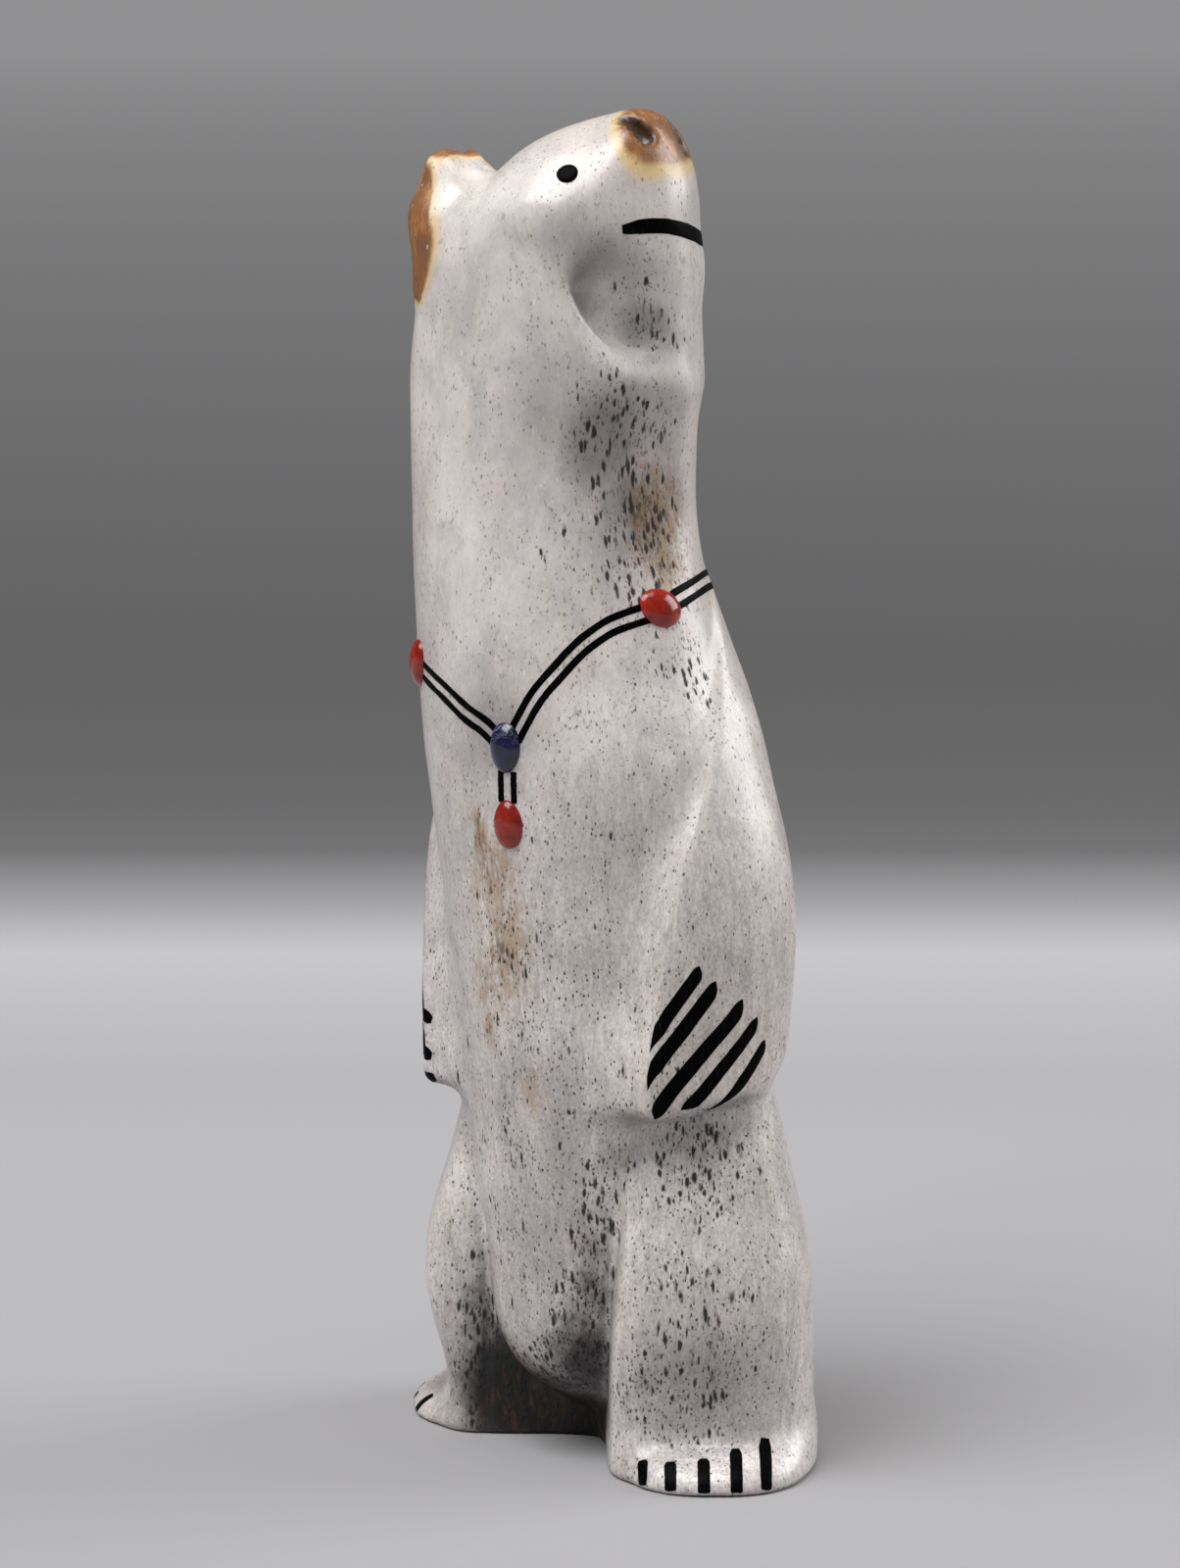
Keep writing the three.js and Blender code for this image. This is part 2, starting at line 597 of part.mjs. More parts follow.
for (const [side, sign, claws] of [['left', 1, leftClaws], ['right', -1, rightClaws]]) {
  claws.forEach(([across, top], i) => {
    const stops = [];
    for (let k = 0; k <= steps; k += 1) {
      const x = legMiddle[0] + (across + 20) * diagonal;
      const y = legMiddle[1] + (across - 20) * diagonal;
      const z = clawFoot + (top - clawFoot) * k / steps;
      stops.push(touch([sign * x, y, z], [-sign * diagonal, diagonal, 0]));
    }
    addStrip(`${side} foot ${fingers[i]} claw`, stops, () => footClawWidth, footClawDepth);
  });
}

// Eyes and mouth
const eyePlace = [4.45, 93.4];
for (const [side, sign] of [['left', 1], ['right', -1]]) {
  const stop = touch(fromHead(eyePlace[0], sign * 14, eyePlace[1]), [
    sign * Math.sin(headTurn), -sign * Math.cos(headTurn), 0]);
  addStone(`${side} eye`, jet, stop, upright, [2 * eyeRadius, 2 * eyeRadius, eyeDepth, 0.05, eyeDome]);
}

const mouthHeights = [[-72, 89.6], [-60, 89.8], [-45, 90], [-15, 89.9], [20, 89.6], [50, 89.5], [72, 89.2]];
const mouthStops = [];
for (let angle = -72; angle <= 72; angle += 18) {
  const look = [Math.cos(angle * turn), Math.sin(angle * turn)];
  const from = fromHead(muzzleMiddle + 14 * look[0], 14 * look[1], along(mouthHeights, angle));
  const back = fromHead(muzzleMiddle, 0, along(mouthHeights, angle));
  mouthStops.push(touch(from, [back[0] - from[0], back[1] - from[1], 0]));
}
const taper = (t) => mouthWidth * Math.min(1, 0.25 + 4 * Math.min(t, 1 - t));
addStrip('mouth', mouthStops, taper, mouthDepth);

// Chips that the grooves cut free fall away
const largest = (solid) => solid.decompose().sort((a, b) => b.volume() - a.volume())[0];

const group = new THREE.Group();
pieces.unshift({ name: 'bear', finish: antler, solid: largest(bear) });
for (const { name, finish, solid } of pieces) {
  const mesh = new THREE.Mesh(geometryFrom(solid), new THREE.MeshStandardMaterial(finish));
  mesh.name = name.replaceAll(' ', '_');
  group.add(mesh);
}

export default group;
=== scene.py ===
import math

import bpy
import numpy as np
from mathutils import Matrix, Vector


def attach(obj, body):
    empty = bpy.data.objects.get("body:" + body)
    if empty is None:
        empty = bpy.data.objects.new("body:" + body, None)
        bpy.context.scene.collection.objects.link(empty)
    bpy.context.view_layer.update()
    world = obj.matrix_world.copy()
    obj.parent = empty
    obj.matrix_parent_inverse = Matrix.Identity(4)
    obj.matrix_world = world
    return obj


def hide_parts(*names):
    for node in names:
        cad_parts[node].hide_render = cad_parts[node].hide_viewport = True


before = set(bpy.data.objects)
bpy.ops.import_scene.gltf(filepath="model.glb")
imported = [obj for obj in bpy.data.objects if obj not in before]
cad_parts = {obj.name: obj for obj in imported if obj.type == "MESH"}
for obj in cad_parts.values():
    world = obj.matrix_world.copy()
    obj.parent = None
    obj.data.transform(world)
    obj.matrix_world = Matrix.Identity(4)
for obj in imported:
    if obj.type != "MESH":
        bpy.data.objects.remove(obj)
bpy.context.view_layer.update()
print("frame loaded")

# The bear is drawn in units of about a hundredth of its height; everything in the scene is in metres.
# It faces -Y, its left side is +X, and it stands on Z = 0.
unit = 0.115 / 98.5
drawnMiddle = np.array([0.5, 2.43, 0.0])


def toMetres(points):
    return (np.asarray(points, float) - drawnMiddle) * unit


# Node trees: sums on sockets read as plain arithmetic

class Wire:
    def __init__(self, bench, socket):
        self.bench = bench
        self.socket = socket

    def out(self, name):
        return Wire(self.bench, self.socket.node.outputs[name])

    def math(self, operation, first, second=None):
        return self.bench.add("ShaderNodeMath", {"operation": operation}, {0: first, 1: second})

    def __add__(self, other):
        return self.math("ADD", self, other)

    __radd__ = __add__

    def __sub__(self, other):
        return self.math("SUBTRACT", self, other)

    def __rsub__(self, other):
        return self.math("SUBTRACT", other, self)

    def __mul__(self, other):
        return self.math("MULTIPLY", self, other)

    __rmul__ = __mul__

    def __truediv__(self, other):
        return self.math("DIVIDE", self, other)

    def __pow__(self, other):
        return self.math("POWER", self, other)

    def most(self, other):
        return self.math("MAXIMUM", self, other)

    def least(self, other):
        return self.math("MINIMUM", self, other)

    def size(self):
        return self.math("ABSOLUTE", self)


class Bench:
    # adds nodes to one tree: settings first, then the values or links of its sockets
    def __init__(self, tree):
        self.tree = tree

    def add(self, kind, settings=None, sockets=None, output=0):
        node = self.tree.nodes.new(kind)
        for name, value in (settings or {}).items():
            if name == "stops":
                ramp = node.color_ramp.elements
                while len(ramp) < len(value):
                    ramp.new(0.5)
                for element, (place, colour) in zip(ramp, value):
                    element.position = place
                    element.color = colour
            else:
                setattr(node, name, value)
        self.feed(node, sockets)
        return Wire(self, node.outputs[output]) if len(node.outputs) else None

    def feed(self, node, sockets):
        for name, value in (sockets or {}).items():
            if isinstance(value, Wire):
                self.tree.links.new(value.socket, node.inputs[name])
            elif value is not None:
                node.inputs[name].default_value = value

    def vector(self, operation, first, second=None, scale=None):
        return self.add("ShaderNodeVectorMath", {"operation": operation},
                        {0: first, 1: second, "Scale": scale},
                        "Value" if operation == "DOT_PRODUCT" else "Vector")

    def mix(self, share, first, second, blend="MIX"):
        return self.add("ShaderNodeMix", {"data_type": "RGBA", "blend_type": blend},
                        {0: share, 6: first, 7: second}, 2)

    def step(self, value, low, high, start=0.0, end=1.0):
        return self.add("ShaderNodeMapRange", {"interpolation_type": "SMOOTHSTEP"},
                        {"Value": value, "From Min": low, "From Max": high, "To Min": start, "To Max": end})

    def noise(self, where, scale, detail=3.0, roughness=0.5, distortion=0.0):
        return self.add("ShaderNodeTexNoise", {}, {"Vector": where, "Scale": scale, "Detail": detail,
                                                   "Roughness": roughness, "Distortion": distortion})


def millimetres(bench, stretch=(1.0, 1.0, 1.0)):
    # the piece's own coordinates, in millimetres, drawn out along each axis
    place = bench.add("ShaderNodeTexCoord", output="Object")
    return bench.vector("MULTIPLY", place, tuple(1000.0 * k for k in stretch))


def newFinish(name, **constants):
    material = bpy.data.materials.new(name)
    material.use_nodes = True
    material.node_tree.nodes.clear()
    bench = Bench(material.node_tree)
    shader = bench.add("ShaderNodeBsdfPrincipled", {}, {k.replace("_", " "): v for k, v in constants.items()})
    bench.add("ShaderNodeOutputMaterial", {}, {"Surface": shader})
    return material, bench, shader.socket.node


def dress(bench, shader, colour, rough, height, strength, depth):
    bump = bench.add("ShaderNodeBump", {}, {"Height": height, "Strength": strength, "Distance": depth})
    bench.feed(shader, {"Base Color": colour, "Roughness": rough, "Normal": bump})


def addObject(name, data):
    made = bpy.data.objects.new(name, data)
    bpy.context.scene.collection.objects.link(made)
    return made


def smooth(mesh, sharpFrom=None):
    mesh.polygons.foreach_set("use_smooth", np.ones(len(mesh.polygons), bool))
    if sharpFrom:
        mesh.set_sharp_from_angle(angle=math.radians(sharpFrom))


def aim(item, place, look):
    item.location = place
    item.rotation_mode = "QUATERNION"
    item.rotation_quaternion = look.to_track_quat("-Z", "Y")


# Camera

cameraSizes = {
    "place": (0.32246, -0.32588, 0.13602),
    "turn": 45.0,        # degrees to the bear's left of straight ahead
    "down": 9.72,        # degrees below level
    "lens": 125.03,
    "sensor": 36.0,
}


def makeCamera(sizes):
    data = bpy.data.cameras.new("camera")
    data.lens = sizes["lens"]
    data.sensor_width = sizes["sensor"]
    data.clip_start = 0.01
    turn, down = math.radians(sizes["turn"]), math.radians(sizes["down"])
    look = Vector((-math.sin(turn) * math.cos(down), math.cos(turn) * math.cos(down), -math.sin(down)))
    camera = addObject("camera", data)
    aim(camera, sizes["place"], look)
    bpy.context.scene.camera = camera


makeCamera(cameraSizes)

# Light: soft boxes and an even surround

lightSizes = {
    "target": (0.0, 0.0, 0.06),
    "surround": 0.14,
    "boxes": {
        # degrees from the camera to the right, degrees up, distance, size, power
        "key": (-55.0, 60.0, 1.3, 1.0, 17.4),
        "rightSide": (104.0, 24.0, 1.3, 0.80, 9.5),
        "top": (10.0, 84.0, 1.3, 0.80, 5.0),
    },
}


def makeLights(sizes):
    for name, (aside, up, distance, size, power) in sizes["boxes"].items():
        data = bpy.data.lights.new(name, "AREA")
        data.shape = "SQUARE"
        data.size = size
        data.energy = power
        around = math.radians(cameraSizes["turn"] + aside)
        rise = math.radians(up)
        back = Vector((math.sin(around) * math.cos(rise), -math.cos(around) * math.cos(rise), math.sin(rise)))
        aim(addObject(name, data), Vector(sizes["target"]) + back * distance, -back)
    world = bpy.data.worlds.new("surround")
    world.use_nodes = True
    bpy.context.scene.world = world
    surround = world.node_tree.nodes["Background"]
    surround.inputs["Color"].default_value = (1.0, 0.99, 1.0, 1.0)
    surround.inputs["Strength"].default_value = sizes["surround"]


makeLights(lightSizes)
bpy.context.scene.view_settings.view_transform = "Standard"

# Floor: paper with painted light and shade, pale round the bear and falling away to grey behind it, with a
# painted glow far behind

floorSizes = {
    "radius": 9.0,
    # distance behind the bear in metres, brightness with the fall of light painted in
    "tones": ((0.0, 0.385), (0.094, 0.405), (0.14, 0.395), (0.165, 0.41), (0.193, 0.475), (0.2195, 0.488),
              (0.239, 0.35), (0.259, 0.195), (0.274, 0.155), (0.296, 0.13), (0.34, 0.12), (0.55, 0.112),
              (1.25, 0.16), (3.4, 0.25)),
    # distance, painted glow that the far paper gives off
    "paintedGlow": ((0.0, 0.0), (0.45, 0.0), (0.55, 0.02), (0.9, 0.06), (1.25, 0.10), (1.7, 0.143), (2.45, 0.19),
             (3.4, 0.24)),
    "sides": 96,
}


def makeFloor(sizes):
    material, bench, shader = newFinish("paper", Roughness=0.9, Specular_IOR_Level=0.1,
                                        Emission_Strength=1.0)
    place = bench.add("ShaderNodeTexCoord", output="Object")
    behind = (-math.sqrt(0.5), math.sqrt(0.5), 0.0)
    away = bench.vector("DOT_PRODUCT", place, behind) / sizes["radius"]

    def ramp(rows):
        stops = [(distance / sizes["radius"], (tone, tone * 0.985, tone * 1.01, 1.0))
                 for distance, tone in rows]
        return bench.add("ShaderNodeValToRGB", {"stops": stops}, {0: away})

    # the paper's colour carries painted light and shade, and its emission a painted glow
    bench.feed(shader, {"Base Color": ramp(sizes["tones"]), "Emission Color": ramp(sizes["paintedGlow"])})
    turns = np.arange(sizes["sides"]) * 2 * math.pi / sizes["sides"]
    ring = sizes["radius"] * np.stack([np.cos(turns), np.sin(turns), 0 * turns], 1)
    mesh = bpy.data.meshes.new("floor")
    mesh.from_pydata(ring.tolist(), [], [list(range(sizes["sides"]))])
    mesh.materials.append(material)
    floor = addObject("floor", mesh)


makeFloor(floorSizes)
print("camera, lights and floor made")

# The carving as a depth: negative inside the antler, in drawing units


def join(a, b, soft):
    share = np.maximum(soft - np.abs(a - b), 0) / soft
    return np.minimum(a, b) - share * share * soft / 4


def trim(a, b, soft):
    return -join(-a, -b, soft)


def along(rows, place, column=1):
    # a smooth curve through rows of [place, value]
    table = np.asarray(rows, float)
    places, values = table[:, 0], table[:, column]
    slope = np.diff(values) / np.diff(places)
    ends = np.concatenate([slope[:1], (slope[1:] + slope[:-1]) / 2, slope[-1:]])
    i = np.clip(np.searchsorted(places, place) - 1, 0, len(places) - 2)
    run = places[i + 1] - places[i]
    t = np.clip((place - places[i]) / run, 0, 1)
    bend = (t ** 3 - 2 * t * t + t) * run * ends[i] + (t ** 3 - t * t) * run * ends[i + 1]
    return values[i] + (3 - 2 * t) * t * t * (values[i + 1] - values[i]) + bend


def easeStep(value, low, high):
    t = np.clip((value - low) / (high - low), 0, 1)
    return t * t * (3 - 2 * t)


def oval(u, v, a, b):
    ring = np.hypot(u / a, v / b)
    return ring * (ring - 1) / (np.hypot(u / a ** 2, v / b ** 2) + 1e-9)


def egg(p, middle, half):
    off = p - np.array(middle)
    half = np.array(half, float)
    ring = np.linalg.norm(off / half, axis=1)
    return ring * (ring - 1) / (np.linalg.norm(off / half ** 2, axis=1) + 1e-9)


def rod(p, start, end, startRadius, endRadius):
    start, run = np.array(start), np.array(end) - np.array(start)
    t = np.clip((p - start) @ run / (run @ run), 0, 1)
    return np.linalg.norm(p - start - t[:, None] * run, axis=1) \
        - (startRadius + (endRadius - startRadius) * t)


# Trunk and neck: height, middle x, middle y, half width, half depth, turn
trunkRows = [
    [4, 0, 1.1, 6.8, 6.9, 0], [9, 0, 1.1, 7.6, 7.8, 0], [14, 0, 1.2, 8.2, 8.4, 0], [20, 0, 1.2, 9, 9.1, 0],
    [30, 0, 1.2, 10.3, 10, 0], [42, 0, 1, 11.9, 11, 2], [52, -0.5, 0.6, 12.8, 11.2, 4],
    [60, -2.1, 0.1, 11.7, 10.6, 8], [68, -3.1, -0.7, 11, 9.2, 13], [76, -3.3, -0.7, 11.2, 8.5, 17],
    [80, -2.9, -0.7, 11.6, 8.3, 17], [84, -2.35, -0.7, 11.4, 8.1, 17], [94, -2.9, -0.7, 10.9, 7.6, 17],
]
bellyBottom = 3.4

headShape = {
    "turn": math.radians(17),
    "middle": (-3.0, -0.7),
    "tilt": 0.05,
    "topLine": [[-12, 93.6], [-4.4, 93.7], [-2.5, 95], [-1.2, 95.9], [0.8, 96.9], [2.8, 97.6], [4.8, 98.1],
                [6.8, 98.5], [8.6, 98.5], [11.5, 96.6]],
    "ruffRight": [[75, 22], [78.6, 14.2], [79.8, 11.2], [80.6, 9.6], [81.7, 8.2], [83.3, 6.9], [85.5, 5.9],
                  [88, 5.6], [90.6, 5.4], [97, 4.8]],
    "ruffLeft": [[75, 22], [78.2, 14.8], [80, 12.7], [82.5, 11.6], [85.4, 10.5], [88, 9], [90, 7], [92, 5.2],
                 [97, 4.2]],
    "muzzleFront": [[84, 9.4], [86.5, 10.6], [90, 11.1], [93, 10.9], [96, 10.1], [99, 8.9]],
    "muzzleHalf": [[84, 3.4], [87, 4.5], [90.5, 5.2], [96, 4.8]],
    "muzzleMiddle": 6.6,
    # rods as start, end and two radii, eggs as middle and half sizes, all along s, w and h
    "brow": ((4.9, 8.3, 95.4), (4.6, 5.2, 99.4), 1.9, 1.7),
    "throat": ((14.2, -6.4, 72), (5.8, 4.8, 7)),
    "ear": ((-7.2, 2.3, 86), (-7.6, 2.1, 93.3), 2.4, 2.15),
    "earCup": ((-5.2, 3, 95.6), (2.3, 1.9, 2.7)),
    "betweenEars": ((-12.5, 0, 96.6), (-4.5, 0, 95.2), 0.5, 0.6),
    "nostrils": [((7.2, -2.6, 97.7), (8.6, -2.6, 96.5), 0.45, 0.75),
                 ((8.7, 1.9, 97.4), (10.0, 1.4, 95.9), 0.45, 0.75)],
}


def trunk(p):
    x, y, z = p.T
    middleX, middleY, a, b, yaw = (along(trunkRows, z, column) for column in range(1, 6))
    c, s = np.cos(np.radians(yaw)), np.sin(np.radians(yaw))
    return oval((x - middleX) * c + (y - middleY) * s, (y - middleY) * c - (x - middleX) * s, a, b)


def toHead(p):
    # s runs forward to the nose, w to the bear's left, h up
    c, s = math.cos(headShape["turn"]), math.sin(headShape["turn"])
    x, y = p[:, 0] - headShape["middle"][0], p[:, 1] - headShape["middle"][1]
    w = y * c - x * s
    return x * c + y * s, w, p[:, 2] + headShape["tilt"] * w


def fromHead(s, w, h):
    c, n = math.cos(headShape["turn"]), math.sin(headShape["turn"])
    return np.array([headShape["middle"][0] + s * c - w * n, headShape["middle"][1] + s * n + w * c,
                     h - headShape["tilt"] * w])


def skull(p, s, w, h):
    left = easeStep(w, -5.2, -1)
    ruff = along(headShape["ruffRight"], h) * (1 - left) + along(headShape["ruffLeft"], h) * left
    halfThere = 8 * np.sqrt(np.clip(1 - (ruff / 11.3) ** 2, 0.05, 1))
    scoop = 2.4 * np.clip(1 - (w / halfThere) ** 4, 0, 1) * easeStep(91 - h, 0, 6) * easeStep(h, 79.4, 81.6)
    return trim(trunk(p), (s - ruff + scoop * (1 - left)) * 0.85, 3)


def muzzle(s, w, h):
    middle = headShape["muzzleMiddle"]
    half = along(headShape["muzzleHalf"], h)
    back = np.maximum(middle - s, 0)
    cheek = np.minimum(0.7 * back * back / (back + 1.2), 3) * np.clip((h - 84) / 4.5, 0, 1)
    front = oval(np.maximum(s - middle, 0), w, along(headShape["muzzleFront"], h) - middle, half)
    side = np.where(s > middle, front, np.abs(w) - (half + cheek))
    return trim(side, 85.5 - h + 0.08 * w * w - 0.2 * (s - 8.5), 2.6)


def head(p):
    s, w, h = toHead(p)
    here, both = np.stack([s, w, h], 1), np.stack([s, np.abs(w), h], 1)
    d = join(skull(p, s, w, h), muzzle(s, w, h), 4 + 1.2 * easeStep(h, 87, 92) * easeStep(-w, -3, 4))
    d = trim(d, -rod(both, *headShape["brow"]), 2.2)
    d = trim(d, (h - along(headShape["topLine"], s)) * 0.9 + 0.075 * w * w, 2.6)
    d = trim(d, (bellyBottom - p[:, 2]) * 0.95, 7)
    d = trim(d, -egg(here, *headShape["throat"]), 4)
    d = join(d, rod(both, *headShape["ear"]), 2)
    d = trim(d, -egg(both, *headShape["earCup"]), 1)
    d = trim(d, -rod(both, *headShape["betweenEars"]), 1)
    d = trim(d, -(s + 10.9) + 0.16 * np.clip(h - 88.5, 0, 99), 3)  # nape
    for nostril in headShape["nostrils"]:
        d = trim(d, -rod(here, *nostril), 0.3)
    return d


armShape = {
    "halfWidth": [[20, 15, 14.6], [30, 15.2, 14.8], [40, 15.9, 14.8], [46, 15.1, 14.4], [53, 12.6, 12.8],
                  [60, 9.3, 9.2], [68, 5, 5]],   # height, left arm, right arm
    "halfDepth": [[20, 12.4], [46, 12.3], [53, 11], [60, 8.8], [68, 5]],
    "front": [[24, -4.8, -6], [26, -5.5, -6.1], [27.4, -5.95, -6.2], [29.3, -6.15, -6.2], [31, -6, -6.1],
              [34, -5.7, -6], [38, -5.35, -5.3], [46, -3.8, -3.8], [53, 0.2, 0.2], [60, 4.5, 4.5],
              [66, 8, 8]],
    "handFoot": [[-8, 26.6], [-5.8, 26.7], [-3.4, 27], [-0.8, 27.8], [4.2, 28.9], [7.5, 31], [10.5, 36.5]],
    "rightDrop": 0.6,
}


def arms(p):
    x, y, z = p.T
    right = (x < 0) * 1.0
    half, front = (np.where(x < 0, along(armShape[name], z, 2), along(armShape[name], z))
                   for name in ("halfWidth", "front"))
    d = oval(x, y - 1.9, half, along(armShape["halfDepth"], z))
    d = trim(d, (front - y) * 0.9, 0.25)
    d = trim(d, (along(armShape["handFoot"], y) - right * armShape["rightDrop"] - z) * 0.85, 1.3)
    d = trim(d, (y - 10) * 0.8, 5)
    return trim(d, z - 68, 5)


legShape = {
    "middle": (8.75, 3.95),
    "shinFront": [[0, 7.3], [3.6, 7.3], [5.2, 7.6], [9.5, 8.7], [12, 9.0], [15, 8.7], [20, 7.2], [26, 5.7],
                  [30, 4.9], [34, 4]],
    "inner": [[0, 7.5], [6, 7.6], [12, 7.3], [19, 6.7], [24, 6.5], [30, 6.1], [34, 5.5]],
    "outer": [[0, 7.4], [9, 7.4], [16, 7], [22, 5.7], [28, 4.3], [36, 2]],
    "leftFoot": (11.5, 2.9),     # length, rise
    "rightFoot": (10.3, 2.3),
    "footHalf": 7.4,
}


def legs(p):
    x, y, z = p.T
    reach, depth = np.abs(x) - legShape["middle"][0], y - legShape["middle"][1]
    toe, across = (reach - depth) * math.sqrt(0.5), (reach + depth) * math.sqrt(0.5)
    wide = np.where(across > 0, along(legShape["outer"], z), along(legShape["inner"], z))
    deep = np.where(toe > 0, along(legShape["shinFront"], z), 9.0)
    square = np.where((across < 0) & (toe > 0), 7.0, 2.8)
    post = (np.abs(across / wide) ** square + np.abs(toe / deep) ** square) ** (1 / square)
    d = trim((post - 1) * 7, z - 33, 6)
    length, rise = (np.where(x > 0, legShape["leftFoot"][k], legShape["rightFoot"][k]) for k in (0, 1))
    sole = (np.abs(across / legShape["footHalf"]) ** 2.6 + np.abs(toe / length) ** 2.6) ** (1 / 2.6)
    return join(d, trim((sole - 1) * 7.3, (z - rise + 0.2 * (toe - 6)) * 0.95, 2.2), 1.3)


backShape = {
    "rump": ((0, 6.5, 12), (10, 7, 18)),       # middle, half sizes
    "tail": ((0, 13.6, 13.5), (2.6, 2.2, 3.6)),
    "slit": ((-6.5, -4.35, 8), (-6.4, -4.6, 0.6), 0.14, 0.26),   # cut between the belly and the right leg
}


def carving(p):
    d = join(head(p), arms(p), 1.6)
    d = join(d, legs(p), 0.8 + 1.6 * easeStep(p[:, 2], 15, 25))
    d = join(d, egg(p, *backShape["rump"]), 3)
    d = join(d, egg(p, *backShape["tail"]), 1.5)
    d = trim(d, -rod(p, *backShape["slit"]), 0.3)
    return trim(d, -p[:, 2], 0.5)


def outward(p):
    # direction of the surface, and how fast the depth grows along it
    e = 0.04
    slope = np.stack([carving(p + e * axis) - carving(p - e * axis) for axis in np.eye(3)], 1)
    size = np.linalg.norm(slope, axis=1, keepdims=True) + 1e-9
    return slope / size, size[:, 0] / (2 * e)


def touch(start, look):
    # where a line of sight first meets the carving
    p = np.array([start], float)
    look = np.array(look, float) / np.linalg.norm(look)
    for _ in range(400):
        d = carving(p)[0]
        if d < 0.002:
            break
        p = p + look * max(d * 0.5, 0.002)
    return p[0], outward(p)[0][0]


def swell(p, size, seed):
    # a smooth random swell, the same on each run
    lattice = np.random.RandomState(seed).uniform(-1, 1, (24, 24, 40))
    q = p / size + np.array([12.0, 12.0, 4.0])
    base = np.floor(q).astype(int)
    t = q - base
    t = t * t * (3 - 2 * t)
    total = np.zeros(len(p))
    for corner in np.ndindex(2, 2, 2):
        weight = np.prod(np.where(corner, t, 1 - t), axis=1)
        place = np.clip(base + corner, 0, np.array(lattice.shape) - 1)
        total += weight * lattice[tuple(place.T)]
    return total


bearSizes = {
    "low": np.array([-20.0, -13.0, -1.4]),
    "high": np.array([21.0, 18.5, 100.0]),
    "cell": 0.42,
    "block": 4,          # fine steps in one coarse step
    "reach": 2.4,        # how near the surface the fine grid is worked out
    "toolSwell": ((7.0, 0.07, 3), (2.6, 0.03, 5)),   # wave, height, seed of the carver's marks
}


def surfaceNet(sizes):
    cell, block = sizes["cell"], sizes["block"]
    blocks = np.ceil((sizes["high"] - sizes["low"]) / (cell * block)).astype(int)
    shape = blocks * block
    middles = sizes["low"] + cell * block * (np.indices(blocks).reshape(3, -1).T + 0.5) - cell / 2
    coarse = carving(middles).reshape(blocks)
    depth = coarse.repeat(block, 0).repeat(block, 1).repeat(block, 2)
    near = np.argwhere(np.abs(depth) < sizes["reach"])
    depth[tuple(near.T)] = carving(sizes["low"] + cell * near)
    inside = depth < 0
    strides = np.array([shape[1] * shape[2], shape[2], 1])
    ends, places, quads = [], [], []
    for axis in range(3):
        a = np.argwhere(np.diff(inside, axis=axis))
        b = a.copy()
        b[:, axis] += 1
        da, db = depth[tuple(a.T)], depth[tuple(b.T)]
        crossing = sizes["low"] + cell * (a + (da / (da - db))[:, None] * (b - a))
        ring = []
        for m, n in ((0, 0), (1, 0), (1, 1), (0, 1)):
            c = a.copy()
            c[:, (axis + 1) % 3] -= m
            c[:, (axis + 2) % 3] -= n
            ring.append(c @ strides)
            ends.append(c @ strides)
            places.append(crossing)
        quad = np.stack(ring, 1)
        quads.append(np.where((da < 0)[:, None], quad, quad[:, ::-1]))
    ends, places, quads = np.concatenate(ends), np.concatenate(places), np.concatenate(quads)
    used, back = np.unique(ends, return_inverse=True)
    count = np.bincount(back)
    points = np.stack([np.bincount(back, places[:, k]) / count for k in range(3)], 1)
    faces = np.searchsorted(used, quads)
    for _ in range(3):
        away, rate = outward(points)
        points = points - away * np.clip(carving(points) / np.maximum(rate, 0.4), -0.4, 0.4)[:, None]
    return points, faces


points, faces = surfaceNet(bearSizes)
away, _ = outward(points)
for wave, rise, seed in bearSizes["toolSwell"]:
    fade = easeStep(points[:, 2], 0.2, 2.0)
    points = points + away * (rise * fade * swell(points, wave, seed))[:, None]
points[:, 2] = np.maximum(points[:, 2], 0)
print("bear net:", len(points), "points")

# What the antler shows at each place, and where shade is painted on it, worked out on the carving and read by
# its finish


def spots(p, rows):
    # the strongest of soft patches
    best = np.zeros(len(p))
    for row in rows:
        off = (p - np.array(row[:3])) / np.array(row[3:6])
        best = np.maximum(best, row[6] * np.exp(-np.sum(off * off, axis=1)))
    return best


